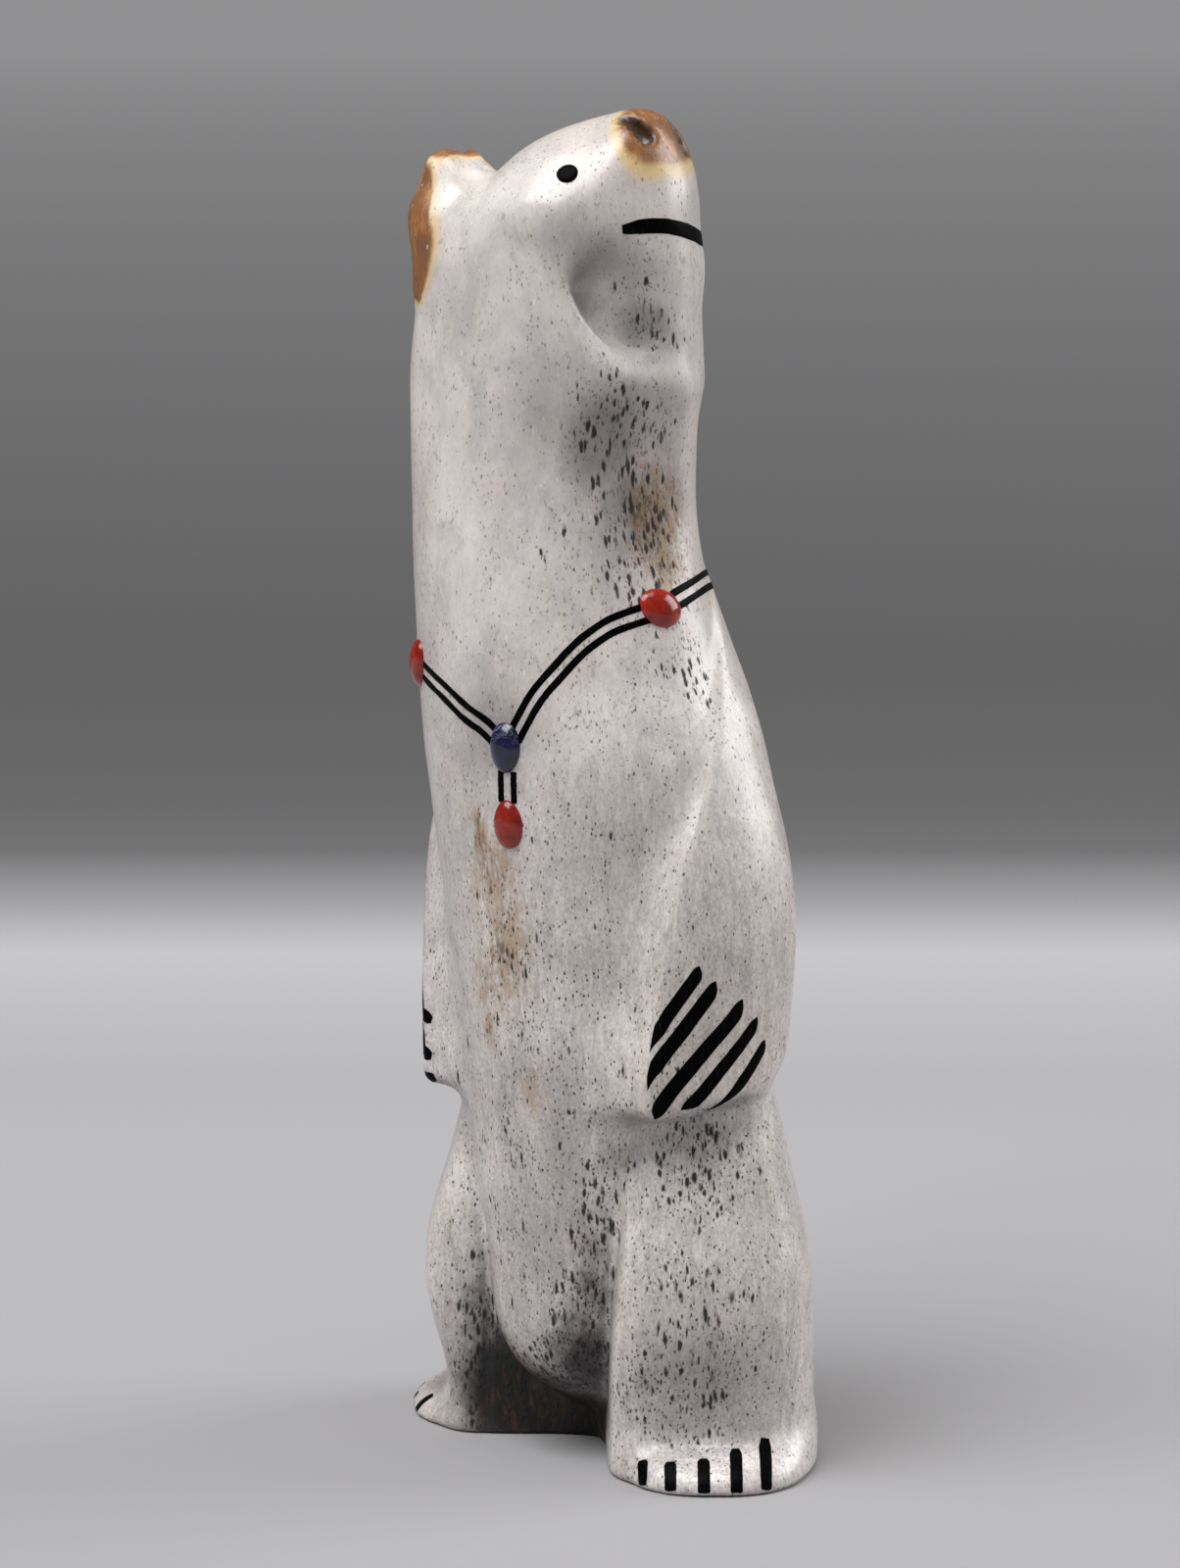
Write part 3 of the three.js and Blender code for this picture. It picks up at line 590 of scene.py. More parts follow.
patches = {
    # middle, half sizes, strength
    "pores": [(6.2, -2.8, 74.5, 3.2, 3.6, 5.5, 1.15), (6.6, -2, 69, 3.4, 3.4, 5, 1.15),
              (7.4, -2, 65, 3.4, 3.4, 4, 1.0), (10.3, -0.4, 59, 3, 4, 3.5, 0.6),
              (12, -1, 23, 4, 4, 5, 0.95), (13.5, -3, 10, 5, 5, 8, 0.75), (4, -5.2, 9, 3.4, 3, 6.5, 1.3),
              (1, -5.3, 6, 5, 3, 3, 1.25), (5.9, -5, 18, 2.2, 2.5, 7, 1.0),
              (-6.3, -4.5, 7, 2.6, 3, 7, 0.9), (13, -4, 30, 3, 2.5, 3, 0.5), (2, -9.5, 38, 6, 5, 12, 0.38),
              (6.8, -1, 84, 2.5, 2.5, 3, 0.65), (-9, 5, 40, 5, 9, 20, 0.4), (0, 12, 30, 10, 5, 20, 0.5),
              (-6, 6, 75, 6, 4, 10, 0.4), (3, -3, 18, 16, 12, 20, 0.36), (6, -3, 62, 8, 8, 16, 0.28)],
    "ochre": [(6.9, -0.6, 69.8, 2.2, 2.6, 4.6, 0.95), (7.8, 0.8, 70, 2.4, 3, 6, 0.75),
              (7.6, 0.2, 66, 2, 2.4, 2.6, 0.9), (6.2, 0.6, 77, 1.5, 2, 4, 0.6),
              (0.2, -10.2, 44.5, 3, 3, 4.5, 0.75), (1.0, -9.8, 38.5, 3.4, 3, 6, 0.75),
              (-0.9, -10, 47, 0.8, 3, 2.6, 1.0), (-1.3, -9, 32.4, 1.1, 3, 2, 0.8),
              (2.6, -8.5, 28.8, 1.5, 3, 3.5, 0.6), (7.5, 2.2, 87, 2, 3, 1.4, 0.4),
              (-1.6, -9.4, 36, 2, 3, 4, 0.6), (10, 0, 61.5, 1.6, 3, 1.6, 0.5), (0, 13, 45, 4, 4, 9, 0.5),
              (-9, 7, 60, 3, 3, 8, 0.4)],
    "bark": [(-4.2, -2.4, 3, 4, 3.4, 4, 1.0), (0.5, -0.5, 1.5, 4, 4, 3, 1.0)],
    # soot with painted shade, at the base, under the belly and between the legs
    "soot": [(4.4, -5, 7, 3, 2.6, 7, 1.0), (5.2, -5, 12, 1.8, 2.2, 8, 0.65),
             (1, -5.3, 4.6, 5, 3, 2.6, 1.0), (0, -1.5, 1.5, 9, 4.5, 3.6, 1.15),
             (-6.2, -3, 3.6, 3.2, 3, 5, 1.4), (-7, -4.6, 9, 1.6, 2, 6, 0.6)],
    # painted shade on the throat, chest, far arm, legs and far foot
    "shade": [(6.3, -1, 83.2, 2.3, 2.6, 2.8, 1.0), (5.2, -4.2, 75.2, 3.6, 3.4, 4.4, 1.1),
              (6, -2.6, 70.6, 3, 2.8, 4, 0.9), (6.4, -1, 80, 2, 2.5, 1.6, 0.3),
              (-7, -8, 40, 3, 4, 14, 0.4), (1, -8.5, 16, 5, 4, 7, 0.45), (14.2, -2.6, 8.5, 4, 4, 4, 0.6),
              (8, -4, 24, 2.4, 3, 2.4, 0.8), (-8, -3.6, 5, 3, 3, 6, 0.7), (0.5, -10.4, 55, 4, 4, 5, 0.75),
              (-5, -7.5, 54, 4, 4, 7, 0.5), (-13, -0.5, 3, 3.4, 3.4, 4, 0.95),
              (-13, -2, 38, 3, 4, 10, 0.85), (-13, -1, 14, 3, 4, 8, 0.5), (2.5, -6.5, 76, 4, 4, 6, 0.5),
              (6, -2.4, 68, 4, 4, 5, 0.7), (8.5, 0.5, 71, 3, 3, 8, 0.55), (4.6, -7, 24, 2.4, 3, 8, 0.5)],
}


def headStainsAndNostrilShade(p):
    s, w, h = toHead(p)
    noseEdge = along([[5.6, 99.6], [6.4, 98], [7.3, 96.7], [8.7, 95.3], [9.9, 94.75], [10.5, 94.8],
                      [12, 95]], s)
    wander = 0.35 * swell(p, 0.9, 11) + 0.25 * swell(p, 2.3, 12)
    nose = h - noseEdge + wander
    napeEdge = along([[70, -40], [80, -13.5], [83.6, -9.2], [84.6, -7.6], [86.3, -6.5], [89.8, -6.2],
                      [91.9, -6.9], [93.6, -7.4], [96, -8.2]], h)
    nape = napeEdge - s + 1.6 * wander + 0.4
    earRim = 0.9 * easeStep(h + 0.5 * wander - 0.25 * (s + 6), 94.4, 95.4) * (s < -3.5)
    groove = np.min([rod(np.stack([s, w, h], 1), *nostril) for nostril in headShape["nostrils"]], axis=0)
    return {
        # painted shade in the nostril grooves
        "nostril": 1 - easeStep(groove, 0.0, 0.3),
        "nose": easeStep(nose, -0.3, 0.4) * (s > 4.5),
        "fringe": easeStep(nose, -1.5, -0.4) * (s > 4.5),
        "nape": np.maximum(easeStep(nape, -0.4, 1.3), earRim),
    }


def hollows(p, away):
    # how much of the space just outside the surface is closed in
    closed = np.zeros(len(p))
    for reach in (0.8, 2.0, 4.0):
        closed += np.clip(1 - carving(p + away * reach) / reach, 0, 1) / 3
    return closed


marks = {name: spots(points, rows) for name, rows in patches.items()}
marks.update(headStainsAndNostrilShade(points))
# closed-in places get painted shade, with some dirt, in the finish
marks["hollow"] = hollows(points, away)
# painted shade on faces that look down
marks["under"] = easeStep(-away[:, 2], 0.1, 0.75) * (points[:, 2] > 3)   # faces that look down
marks["coarse"] = 0.3 + 0.7 * (1 - easeStep(points[:, 2], 36, 70))       # grain shows more low down


def makeBear():
    mesh = bpy.data.meshes.new("antlerBear")
    mesh.vertices.add(len(points))
    mesh.vertices.foreach_set("co", toMetres(points).astype(np.float32).ravel())
    mesh.loops.add(faces.size)
    mesh.loops.foreach_set("vertex_index", faces.astype(np.int32).ravel())
    mesh.polygons.add(len(faces))
    mesh.polygons.foreach_set("loop_start", np.arange(0, faces.size, 4, dtype=np.int32))
    mesh.update(calc_edges=True)
    mesh.validate()
    smooth(mesh)
    for name, values in marks.items():
        layer = mesh.attributes.new(name, "FLOAT", "POINT")
        layer.data.foreach_set("value", values.astype(np.float32))
    return addObject("antlerBear", mesh)


bear = makeBear()
print("bear made")

# Antler: polished off-white with grey clouds, upright fibres, dark pores and ochre stains

antlerTones = {
    "cream": (0.725, 0.655, 0.605, 1.0),
    "pale": (0.83, 0.77, 0.735, 1.0),
    "grey": (0.48, 0.455, 0.46, 1.0),
    "ochre": (0.46, 0.27, 0.10, 1.0),
    "yellow": (0.78, 0.56, 0.23, 1.0),
    "stain": (0.12, 0.055, 0.05, 1.0),
    "freckle": (0.34, 0.25, 0.20, 1.0),
    "amber": (0.47, 0.18, 0.035, 1.0),
    "brown": (0.20, 0.06, 0.013, 1.0),
    "darkBrown": (0.030, 0.020, 0.014, 1.0),
    "pore": (0.008, 0.006, 0.005, 1.0),
    "speck": (0.055, 0.035, 0.024, 1.0),
    "drab": (0.34, 0.27, 0.17, 1.0),
    # painted highlight for the short glints
    "paintedGlint": (0.93, 0.91, 0.89, 1.0),
}


def dashes(bench, stretch, seed, size):
    # small upright slots, each in its own cell: how deep at a place, and a number for each cell
    where = bench.vector("ADD", millimetres(bench, stretch), (seed, seed * 1.7, seed * 0.6))
    bent = bench.noise(where, 1.4, 2.0)
    where = bench.vector("ADD", where, bench.vector("SCALE", bent.out("Color"), scale=0.8))
    cell = bench.add("ShaderNodeTexVoronoi", {"feature": "F1"},
                     {"Vector": where, "Scale": 1.0, "Randomness": 1.0})
    luck = bench.add("ShaderNodeSeparateColor", {}, {0: cell.out("Color")})
    width = size * (0.5 + 0.9 * luck.out("Green"))
    return bench.step(cell / width, 1.0, 0.45), luck


def makeAntlerFinish(tones):
    material, bench, shader = newFinish(
        "polishedAntler", IOR=1.5, Coat_Roughness=0.24, Subsurface_Weight=0.07,
        Subsurface_Radius=(0.0016, 0.0011, 0.0008), Subsurface_Scale=1.0)
    mm = millimetres(bench)
    mark = {name: bench.add("ShaderNodeAttribute", {"attribute_name": name}, output="Fac") for name in marks}

    def upright(squeeze, *settings):
        # noise drawn out along the bear's height
        return bench.noise(millimetres(bench, (1, 1, squeeze)), *settings)

    # ground: cream and pale clouds, grey patches, fibres and grain
    cloud = bench.step(bench.noise(mm, 0.085, 4.0, 0.55, 0.3), 0.40, 0.66)
    patch = bench.step(upright(0.6, 0.20, 6.0, 0.66, 0.5), 0.42, 0.68)
    fibre = upright(0.13, 2.2, 4.0, 0.65, 0.4)
    grain = upright(0.6, 4.2, 4.0, 0.7)
    streak = upright(0.22, 1.1, 5.0, 0.7, 0.6)
    colour = bench.mix(cloud, tones["cream"], tones["pale"])
    colour = bench.mix(patch * 0.6, colour, tones["grey"])
    tint = bench.step(fibre, 0.32, 0.68, -0.07, 0.05) + bench.step(grain, 0.34, 0.66, -0.22, 0.12) \
        + bench.step(streak, 0.34, 0.66, -0.14, 0.07)
    tint = 1.03 + tint * mark["coarse"]
    tintColour = bench.add("ShaderNodeCombineColor", {}, {0: tint, 1: tint, 2: tint})
    colour = bench.mix(1.0, colour, tintColour, "MULTIPLY")
    freckle = bench.step(upright(0.5, 2.7, 3.0, 0.6), 0.56, 0.68) \
        * bench.step(bench.noise(mm, 0.28, 3.0, 0.6), 0.42, 0.60)
    colour = bench.mix(freckle * 0.55, colour, tones["freckle"])

    # stains: ochre on the throat and belly, rust on the nose, nape and base
    broken = upright(0.42, 1.3, 5.0, 0.7, 0.5)
    ochre = bench.step(mark["ochre"] * 1.2 + (broken - 0.5) * 2.6, 0.30, 0.95) \
        * (mark["ochre"] * 1.6).least(1.0)
    warm = bench.mix(bench.step(broken, 0.40, 0.62), tones["drab"], tones["ochre"])
    colour = bench.mix(ochre * (0.45 + mark["ochre"] * 0.4), colour, warm)
    blotch = upright(0.35, 2.1, 4.0, 0.65)
    stain = bench.step(mark["ochre"] * 0.72 + (blotch - 0.5) * 2.2, 0.52, 0.92)
    colour = bench.mix(stain * 0.75, colour, tones["stain"])
    colour = bench.mix(mark["fringe"] * 0.85, colour, tones["yellow"])
    ragged = upright(0.4, 0.9, 5.0, 0.65)
    rust = bench.mix(bench.step(ragged, 0.44, 0.70), tones["brown"], tones["amber"])
    colour = bench.mix(mark["nose"] * 0.93, colour, rust)
    colour = bench.mix((mark["nape"] * 1.6).least(0.8), colour, tones["yellow"])
    colour = bench.mix(bench.step(mark["nape"] + (ragged - 0.5) * 0.5, 0.45, 0.8) * 0.92, colour, rust)
    baseRust = bench.mix(bench.step(ragged, 0.48, 0.66), tones["darkBrown"], tones["ochre"])
    colour = bench.mix((mark["bark"] * 1.4).least(0.92), colour, baseRust)

    # pores, specks and long slits where the core is near, and short painted glints of highlight
    clump = bench.noise(mm, 0.30, 4.0, 0.6)
    poreDepth, luck = dashes(bench, (2.2, 2.2, 0.66), 3.0, 0.45)
    chance = bench.step(mark["pores"] + (clump - 0.5) * 1.3 - 0.18 - luck * 0.6, 0.0, 0.1)
    fineDepth, fineLuck = dashes(bench, (3.7, 3.7, 1.9), 29.0, 0.34)
    fineChance = bench.step(mark["pores"] * 0.8 + (clump - 0.5) * 1.6 + 0.22 - fineLuck * 0.75, 0.0, 0.1)
    slitDepth, slitLuck = dashes(bench, (1.05, 1.05, 0.26), 17.0, 0.24)
    slit = slitDepth * bench.step(mark["pores"] * 0.9 - 0.22 - slitLuck * 0.7, 0.0, 0.1)
    paintedGlintDepth, paintedGlintLuck = dashes(bench, (2.6, 2.6, 0.6), 41.0, 0.18)
    paintedGlint = paintedGlintDepth * bench.step(paintedGlintLuck, 0.55, 0.62)
    pore = (poreDepth * chance).most(slit)
    speck = fineDepth * fineChance * (0.45 + mark["coarse"] * 0.5)
    dark = pore.most(speck)
    colour = bench.mix(speck, colour, tones["speck"])
    # painted highlight: short white glints
    colour = bench.mix(paintedGlint * 0.6, colour, tones["paintedGlint"])

    # grime and painted shade: bark, dirt and soot darken the antler, and shade is painted into hollows, onto
    # the shade patches and onto faces that look down
    # darker in hollows and creases: painted shade with some dirt
    hollowDirtAndShade = bench.step(mark["hollow"] + (bench.noise(mm, 0.6, 4.0) - 0.5) * 0.25, 0.28, 0.85)
    # soot, with painted shade between the legs and under the belly
    soot = bench.step(mark["soot"] + (bench.noise(mm, 0.6, 5.0, 0.7) - 0.5) * 0.9, 0.12, 0.95)
    # painted shade from the shade patches, broken by streaks and clumps
    paintedShade = bench.step(mark["shade"] + (streak - 0.5) * 0.5 + (clump - 0.5) * 0.4, 0.0, 1.0)
    # light left after bark, dirt and soot, and after the painted shade in hollows, on the shade patches and
    # on faces that look down
    left = (1.0 - mark["bark"] * 0.45) * (1.0 - paintedShade * 0.58) * (1.0 - hollowDirtAndShade * mark["coarse"] * 0.72) \
        * (1.0 - soot * 0.94) * (1.0 - mark["under"] * 0.5)
    grimeAndShade = bench.add("ShaderNodeCombineColor", {}, {0: left, 1: left, 2: (left * 1.03).least(1.0)})
    colour = bench.mix(1.0, colour, grimeAndShade, "MULTIPLY")
    vein = bench.step(upright(0.3, 1.6, 4.0, 0.65), 0.53, 0.66)
    colour = bench.mix(vein * mark["bark"] * 0.4, colour, tones["brown"])
    # dark pores, and painted shade in the nostril grooves
    colour = bench.mix(pore.most(mark["nostril"] * 0.8) * 0.97, colour, tones["pore"])

    rough = 0.30 + bench.noise(mm, 0.5, 4.0) * 0.16 + dark * 0.3 + mark["nape"] * 0.2 + mark["bark"] * 0.3
    height = fibre * 0.10 + grain * 0.05 - dark * 0.9 + bench.noise(mm, 0.9, 3.0) * 0.25 \
        + ragged * mark["nape"].most(mark["bark"]) * 1.6
    dress(bench, shader, colour, rough, height, 0.5, 0.00012)
    bench.feed(shader, {"Coat Weight": 0.55 - (dark * 0.5).most(mark["nape"] * 0.35).most(soot * 0.45)})
    return material


bear.data.materials.append(makeAntlerFinish(antlerTones))
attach(bear, "root")
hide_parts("bear")


# Jet, coral and lapis

stoneTones = {
    "jet": (0.001, 0.001, 0.0015, 1.0),
    "scratch": (0.03, 0.03, 0.033, 1.0),
    "deepCoral": (0.20, 0.006, 0.002, 1.0),
    "coral": (0.40, 0.018, 0.005, 1.0),
    "orangeBand": (0.56, 0.07, 0.025, 1.0),
    "deepLapis": (0.001, 0.0008, 0.009, 1.0),
    "lapis": (0.006, 0.005, 0.075, 1.0),
    "calcite": (0.30, 0.32, 0.42, 1.0),
}


def makeJetFinish():
    material, bench, shader = newFinish("polishedJet", IOR=1.5, Specular_IOR_Level=0.03)
    mm = millimetres(bench)
    scratch = bench.step(bench.noise(millimetres(bench, (1, 1, 0.12)), 5.0, 3.0, 0.6), 0.56, 0.68)
    cloud = bench.noise(mm, 0.8, 3.0)
    colour = bench.mix(scratch * cloud * 0.5, stoneTones["jet"], stoneTones["scratch"])
    rough = 0.36 + scratch * 0.2 + cloud * 0.08
    dress(bench, shader, colour, rough, bench.noise(mm, 3.0, 3.0) + scratch * 0.4, 0.25, 0.00004)
    return material


def makeCoralFinish():
    material, bench, shader = newFinish(
        "polishedCoral", IOR=1.5, Coat_Weight=0.3, Coat_Roughness=0.05, Subsurface_Weight=0.1,
        Subsurface_Radius=(0.0009, 0.0002, 0.0001), Subsurface_Scale=1.0)
    mm = millimetres(bench)
    cloud = bench.step(bench.noise(mm, 0.55, 4.0, 0.6), 0.35, 0.7)
    band = bench.noise(millimetres(bench, (0.5, 0.5, 2.4)), 1.1, 4.0)
    colour = bench.mix(cloud, stoneTones["deepCoral"], stoneTones["coral"])
    colour = bench.mix(bench.step(band, 0.55, 0.78) * 0.25, colour, stoneTones["orangeBand"])
    rough = 0.14 + bench.noise(mm, 2.0, 3.0) * 0.10
    dress(bench, shader, colour, rough, band, 0.15, 0.00005)
    return material


def makeLapisFinish():
    material, bench, shader = newFinish("polishedLapis", IOR=1.5, Coat_Weight=0.6, Coat_Roughness=0.05)
    mm = millimetres(bench)
    cloud = bench.step(bench.noise(mm, 0.9, 5.0, 0.65), 0.35, 0.68)
    vein = bench.noise(bench.vector("ADD", mm, (4.0, 1.0, 3.0)), 0.55, 5.0, 0.65, 1.2)
    upper = bench.step(bench.add("ShaderNodeSeparateXYZ", {}, {0: mm}).out("Z"), 62.0, 65.0)
    streak = bench.step((vein - 0.5).size(), 0.02, 0.0) * upper
    colour = bench.mix(cloud, stoneTones["deepLapis"], stoneTones["lapis"])
    colour = bench.mix(streak * 0.6, colour, stoneTones["calcite"])
    rough = 0.16 + bench.noise(mm, 2.0, 3.0) * 0.12
    dress(bench, shader, colour, rough, cloud, 0.12, 0.00005)
    return material


finishes = {"jet": makeJetFinish(), "coral": makeCoralFinish(), "lapis": makeLapisFinish()}
print("finishes made")

# Stones: an oval dome whose rim follows the carving, with a wall let into it

stoneSizes = {
    "rings": 14,
    "sides": 48,
    "wander": 0.035,     # how far the outline leaves a true oval
    "rim": 0.06,         # millimetres proud where the dome starts
    "seat": 0.7,         # millimetres let into the bear
    "drops": {
        # angle round the trunk, height, long way, length, width, dome, slot, node, seed
        "lapisDrop": (10, 53.6, (0, 0, 1), 4.2, 3.0, 0.85, "lapis", "lapis_drop", 3),
        "leftCoral": (81, 63.4, (0.4, 1, -0.35), 4.2, 3.2, 0.85, "coral", "left_coral_drop", 4),
        "rightCoral": (-46, 58.4, (0.2, -0.2, 1), 4.2, 3.2, 0.85, "coral", "right_coral_drop", 5),
        "pendantCoral": (11, 48, (0, 0, 1), 4.2, 2.8, 0.85, "coral", "pendant_coral_drop", 6),
    },
    "eyes": {"leftEye": (1, "left_eye", 7), "rightEye": (-1, "right_eye", 8)},
    "eyePlace": (4.45, 93.4),
    "eyeSize": (1.8, 1.8, 0.28),
}
millimetre = 0.001 / unit        # one millimetre in drawing units


def finishPiece(piece, slotName, node):
    piece.data.materials.clear()
    piece.data.materials.append(finishes[slotName])
    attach(piece, "root")
    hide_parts(node)


def makeStone(name, stop, longWay, length, width, dome, slotName, node, seed):
    place, up = stop
    longWay = np.array(longWay, float)
    longWay = longWay - up * (longWay @ up)
    longWay /= np.linalg.norm(longWay)
    side = np.cross(up, longWay)
    rings, sides = stoneSizes["rings"], stoneSizes["sides"]
    luck = np.random.RandomState(seed).uniform(0, 2 * math.pi, 3)
    turns = np.arange(sides) * 2 * math.pi / sides
    outline = 1 + stoneSizes["wander"] * (np.cos(2 * turns + luck[0]) + 0.6 * np.cos(3 * turns + luck[1])
                                          + 0.3 * np.cos(5 * turns + luck[2])) / 1.9
    around = (np.cos(turns) * outline * width / 2)[:, None] * side \
        + (np.sin(turns) * outline * length / 2)[:, None] * longWay
    rows = []
    for ring in range(1, rings + 1):
        share = math.sin(ring / rings * math.pi / 2)
        ground = place + around * share * millimetre
        for _ in range(3):
            ground = ground - up * carving(ground)[:, None]
        lift = stoneSizes["rim"] + (dome - stoneSizes["rim"]) * (1 - share ** 2.3) ** 0.62
        rows.append(ground + up * lift * millimetre)
    for depth in (0.15, stoneSizes["seat"]):
        rows.append(rows[rings - 1] - up * (stoneSizes["rim"] + depth) * millimetre)
    corners = [place + up * dome * millimetre] + [p for row in rows for p in row]
    corners.append(place - up * stoneSizes["seat"] * millimetre)
    shapes = [[0, 1 + k, 1 + (k + 1) % sides] for k in range(sides)]
    for ring in range(len(rows) - 1):
        a = 1 + ring * sides
        for k in range(sides):
            n = (k + 1) % sides
            shapes.append([a + k, a + sides + k, a + sides + n, a + n])
    a, last = 1 + (len(rows) - 1) * sides, len(corners) - 1
    shapes += [[a + (k + 1) % sides, a + k, last] for k in range(sides)]
    mesh = bpy.data.meshes.new(name)
    mesh.from_pydata(toMetres(corners).tolist(), [], shapes)
    smooth(mesh, 50)
    finishPiece(addObject(name, mesh), slotName, node)


def onTrunk(angle, z):
    look = np.array([math.sin(math.radians(angle)), -math.cos(math.radians(angle)), 0.0])
    return touch([look[0] * 30, look[1] * 30, z], -look)


for name, (angle, z, longWay, *rest) in stoneSizes["drops"].items():
    makeStone(name, onTrunk(angle, z), longWay, *rest)
for name, (sign, node, seed) in stoneSizes["eyes"].items():
    look = np.array([sign * math.sin(headShape["turn"]), -sign * math.cos(headShape["turn"]), 0.0])
    start = fromHead(stoneSizes["eyePlace"][0], sign * 14, stoneSizes["eyePlace"][1])
    makeStone(name, touch(start, look), (0, 0, 1), *stoneSizes["eyeSize"], "jet", node, seed)
print("stones made")

# Jet strips: one node tree lays a strip along a line drawn over the bear


def makeStripTree():
    tree = bpy.data.node_groups.new("inlaidStrip", "GeometryNodeTree")
    tree.is_modifier = True
    bench = Bench(tree)
    face = tree.interface
    kinds = {"Line": "Geometry", "Bear": "Object", "Steps": "Int", "Finish": "Material"}
    for name in ("Line", "Bear", "Width", "Start Round", "End Round", "Start Blunt", "End Blunt",
                 "Start Bend", "Start Slant", "End Slant", "Wander", "Rise", "Depth", "Steps", "Seed",
                 "Finish"):
        face.new_socket(name, in_out="INPUT", socket_type="NodeSocket" + kinds.get(name, "Float"))
    face.new_socket("Strip", in_out="OUTPUT", socket_type="NodeSocketGeometry")
    given = bench.add("NodeGroupInput")
    rows = 6
    grid = bench.add("GeometryNodeMeshGrid", {}, {
        "Size X": 1.0, "Size Y": 1.0, "Vertices X": given.out("Steps"), "Vertices Y": rows + 1})
    place = bench.add("ShaderNodeSeparateXYZ", {}, {0: bench.add("GeometryNodeInputPosition")})
    share = (place.out("X") + 0.5).least(1.0).most(0.0)
    across = place.out("Y") * 2.0

    def slanted(slant):
        # how much of the line this edge gives up where its end is cut aslant
        return (slant.size() + slant * across) * 0.5

    factor = share + (1.0 - share) * slanted(given.out("Start Slant")) \
        - share * slanted(given.out("End Slant"))
    line = bench.add("GeometryNodeSampleCurve", {"mode": "FACTOR", "use_all_curves": True},
                     {"Curves": given.out("Line"), "Factor": factor.least(1.0).most(0.0)}, "Position")
    tangent = line.out("Tangent")
    bearFaces = bench.add("GeometryNodeObjectInfo", {"transform_space": "ORIGINAL"},
                          {"Object": given.out("Bear")}, "Geometry")

    def awayAt(spot):
        normal = bench.add("GeometryNodeInputNormal")
        near = bench.add("GeometryNodeSampleNearestSurface", {"data_type": "FLOAT_VECTOR"}, {
            "Mesh": bearFaces, "Value": normal, "Sample Position": spot}, "Value")
        return bench.vector("NORMALIZE", near)

    side = bench.vector("NORMALIZE", bench.vector("CROSS_PRODUCT", awayAt(line), tangent))

    def roundEnd(fromEnd, length, blunt, bend):
        # grows from a blunt or pointed end to the full width
        rest = 1.0 - (fromEnd / length.most(0.0001)).least(1.0)
        return (1.0 - rest * (1.0 - blunt)).most(0.0) ** bend

    width = given.out("Width") * roundEnd(share, given.out("Start Round"), given.out("Start Blunt"),
                                          given.out("Start Bend"))
    width = width * roundEnd(1.0 - share, given.out("End Round"), given.out("End Blunt"), 0.5)
    waver = bench.add("ShaderNodeTexNoise", {"noise_dimensions": "1D"}, {
        "W": share * 7.0 + across * 0.4 + given.out("Seed"), "Scale": 1.0, "Detail": 2.0})
    offset = across * width * 0.5 + (waver - 0.5) * given.out("Wander")
    spot = bench.vector("ADD", line, bench.vector("SCALE", side, scale=offset))
    near = bench.add("GeometryNodeProximity", {"target_element": "FACES"}, {
        "Geometry": bearFaces, "Sample Position": spot}, "Position")
    edge = across * across
    lift = given.out("Rise") * (1.0 - edge * edge * 0.6)
    top = bench.vector("ADD", near, bench.vector("SCALE", awayAt(near), scale=lift))
    laid = bench.add("GeometryNodeSetPosition", {}, {"Geometry": grid, "Position": top})
    sunk = bench.vector("SCALE", bench.vector("SCALE", awayAt(bench.add("GeometryNodeInputPosition")),
                                              scale=given.out("Depth")), scale=-1.0)
    pushed = bench.add("GeometryNodeExtrudeMesh", {"mode": "FACES"}, {
        "Mesh": laid, "Offset": sunk, "Offset Scale": 1.0, "Individual": False})
    both = bench.add("GeometryNodeJoinGeometry")
    for part in (pushed, bench.add("GeometryNodeFlipFaces", {}, {"Mesh": laid})):
        tree.links.new(part.socket, both.socket.node.inputs[0])
    merged = bench.add("GeometryNodeMergeByDistance", {}, {"Geometry": both, "Distance": 0.000002})
    real = bench.add("GeometryNodeRealizeInstances", {}, {0: merged})
    bench.add("NodeGroupOutput", {}, {0: bench.add("GeometryNodeSetMaterial", {}, {
        "Geometry": real, "Material": given.out("Finish")})})
    return tree


stripTree = makeStripTree()
stripInputs = {item.name: item.identifier for item in stripTree.interface.items_tree
               if item.in_out == "INPUT"}

stripSizes = {
    # millimetres, but rounds and blunts as shares of the length and the width
    "all": {"Rise": 0.05, "Depth": 0.45, "Start Blunt": 0.3, "End Blunt": 0.3, "Start Bend": 0.5},
    "strand": {"Width": 0.60, "Start Round": 0.01, "End Round": 0.01, "Wander": 0.10, "Steps": 60},
    "claw": {"Width": 1.15, "Start Round": 0.06, "End Round": 0.06, "End Blunt": 0.25, "Wander": 0.06,
             "Steps": 40},
    "mouth": {"Width": 1.25, "Start Round": 0.10, "End Round": 0.08, "Wander": 0.12, "Steps": 60},
}


def curveThrough(stops, count=40):
    # a smooth line through touched places, put back on the carving
    stops = np.array(stops)
    runs = np.concatenate([[0], np.cumsum(np.linalg.norm(np.diff(stops, axis=0), axis=1))])
    wanted = np.linspace(0, runs[-1], count)
    line = np.stack([along(np.stack([runs, stops[:, k]], 1), wanted) for k in range(3)], 1)
    for _ in range(3):
        away, rate = outward(line)
        line = line - away * (carving(line) / np.maximum(rate, 0.4))[:, None]
    return line


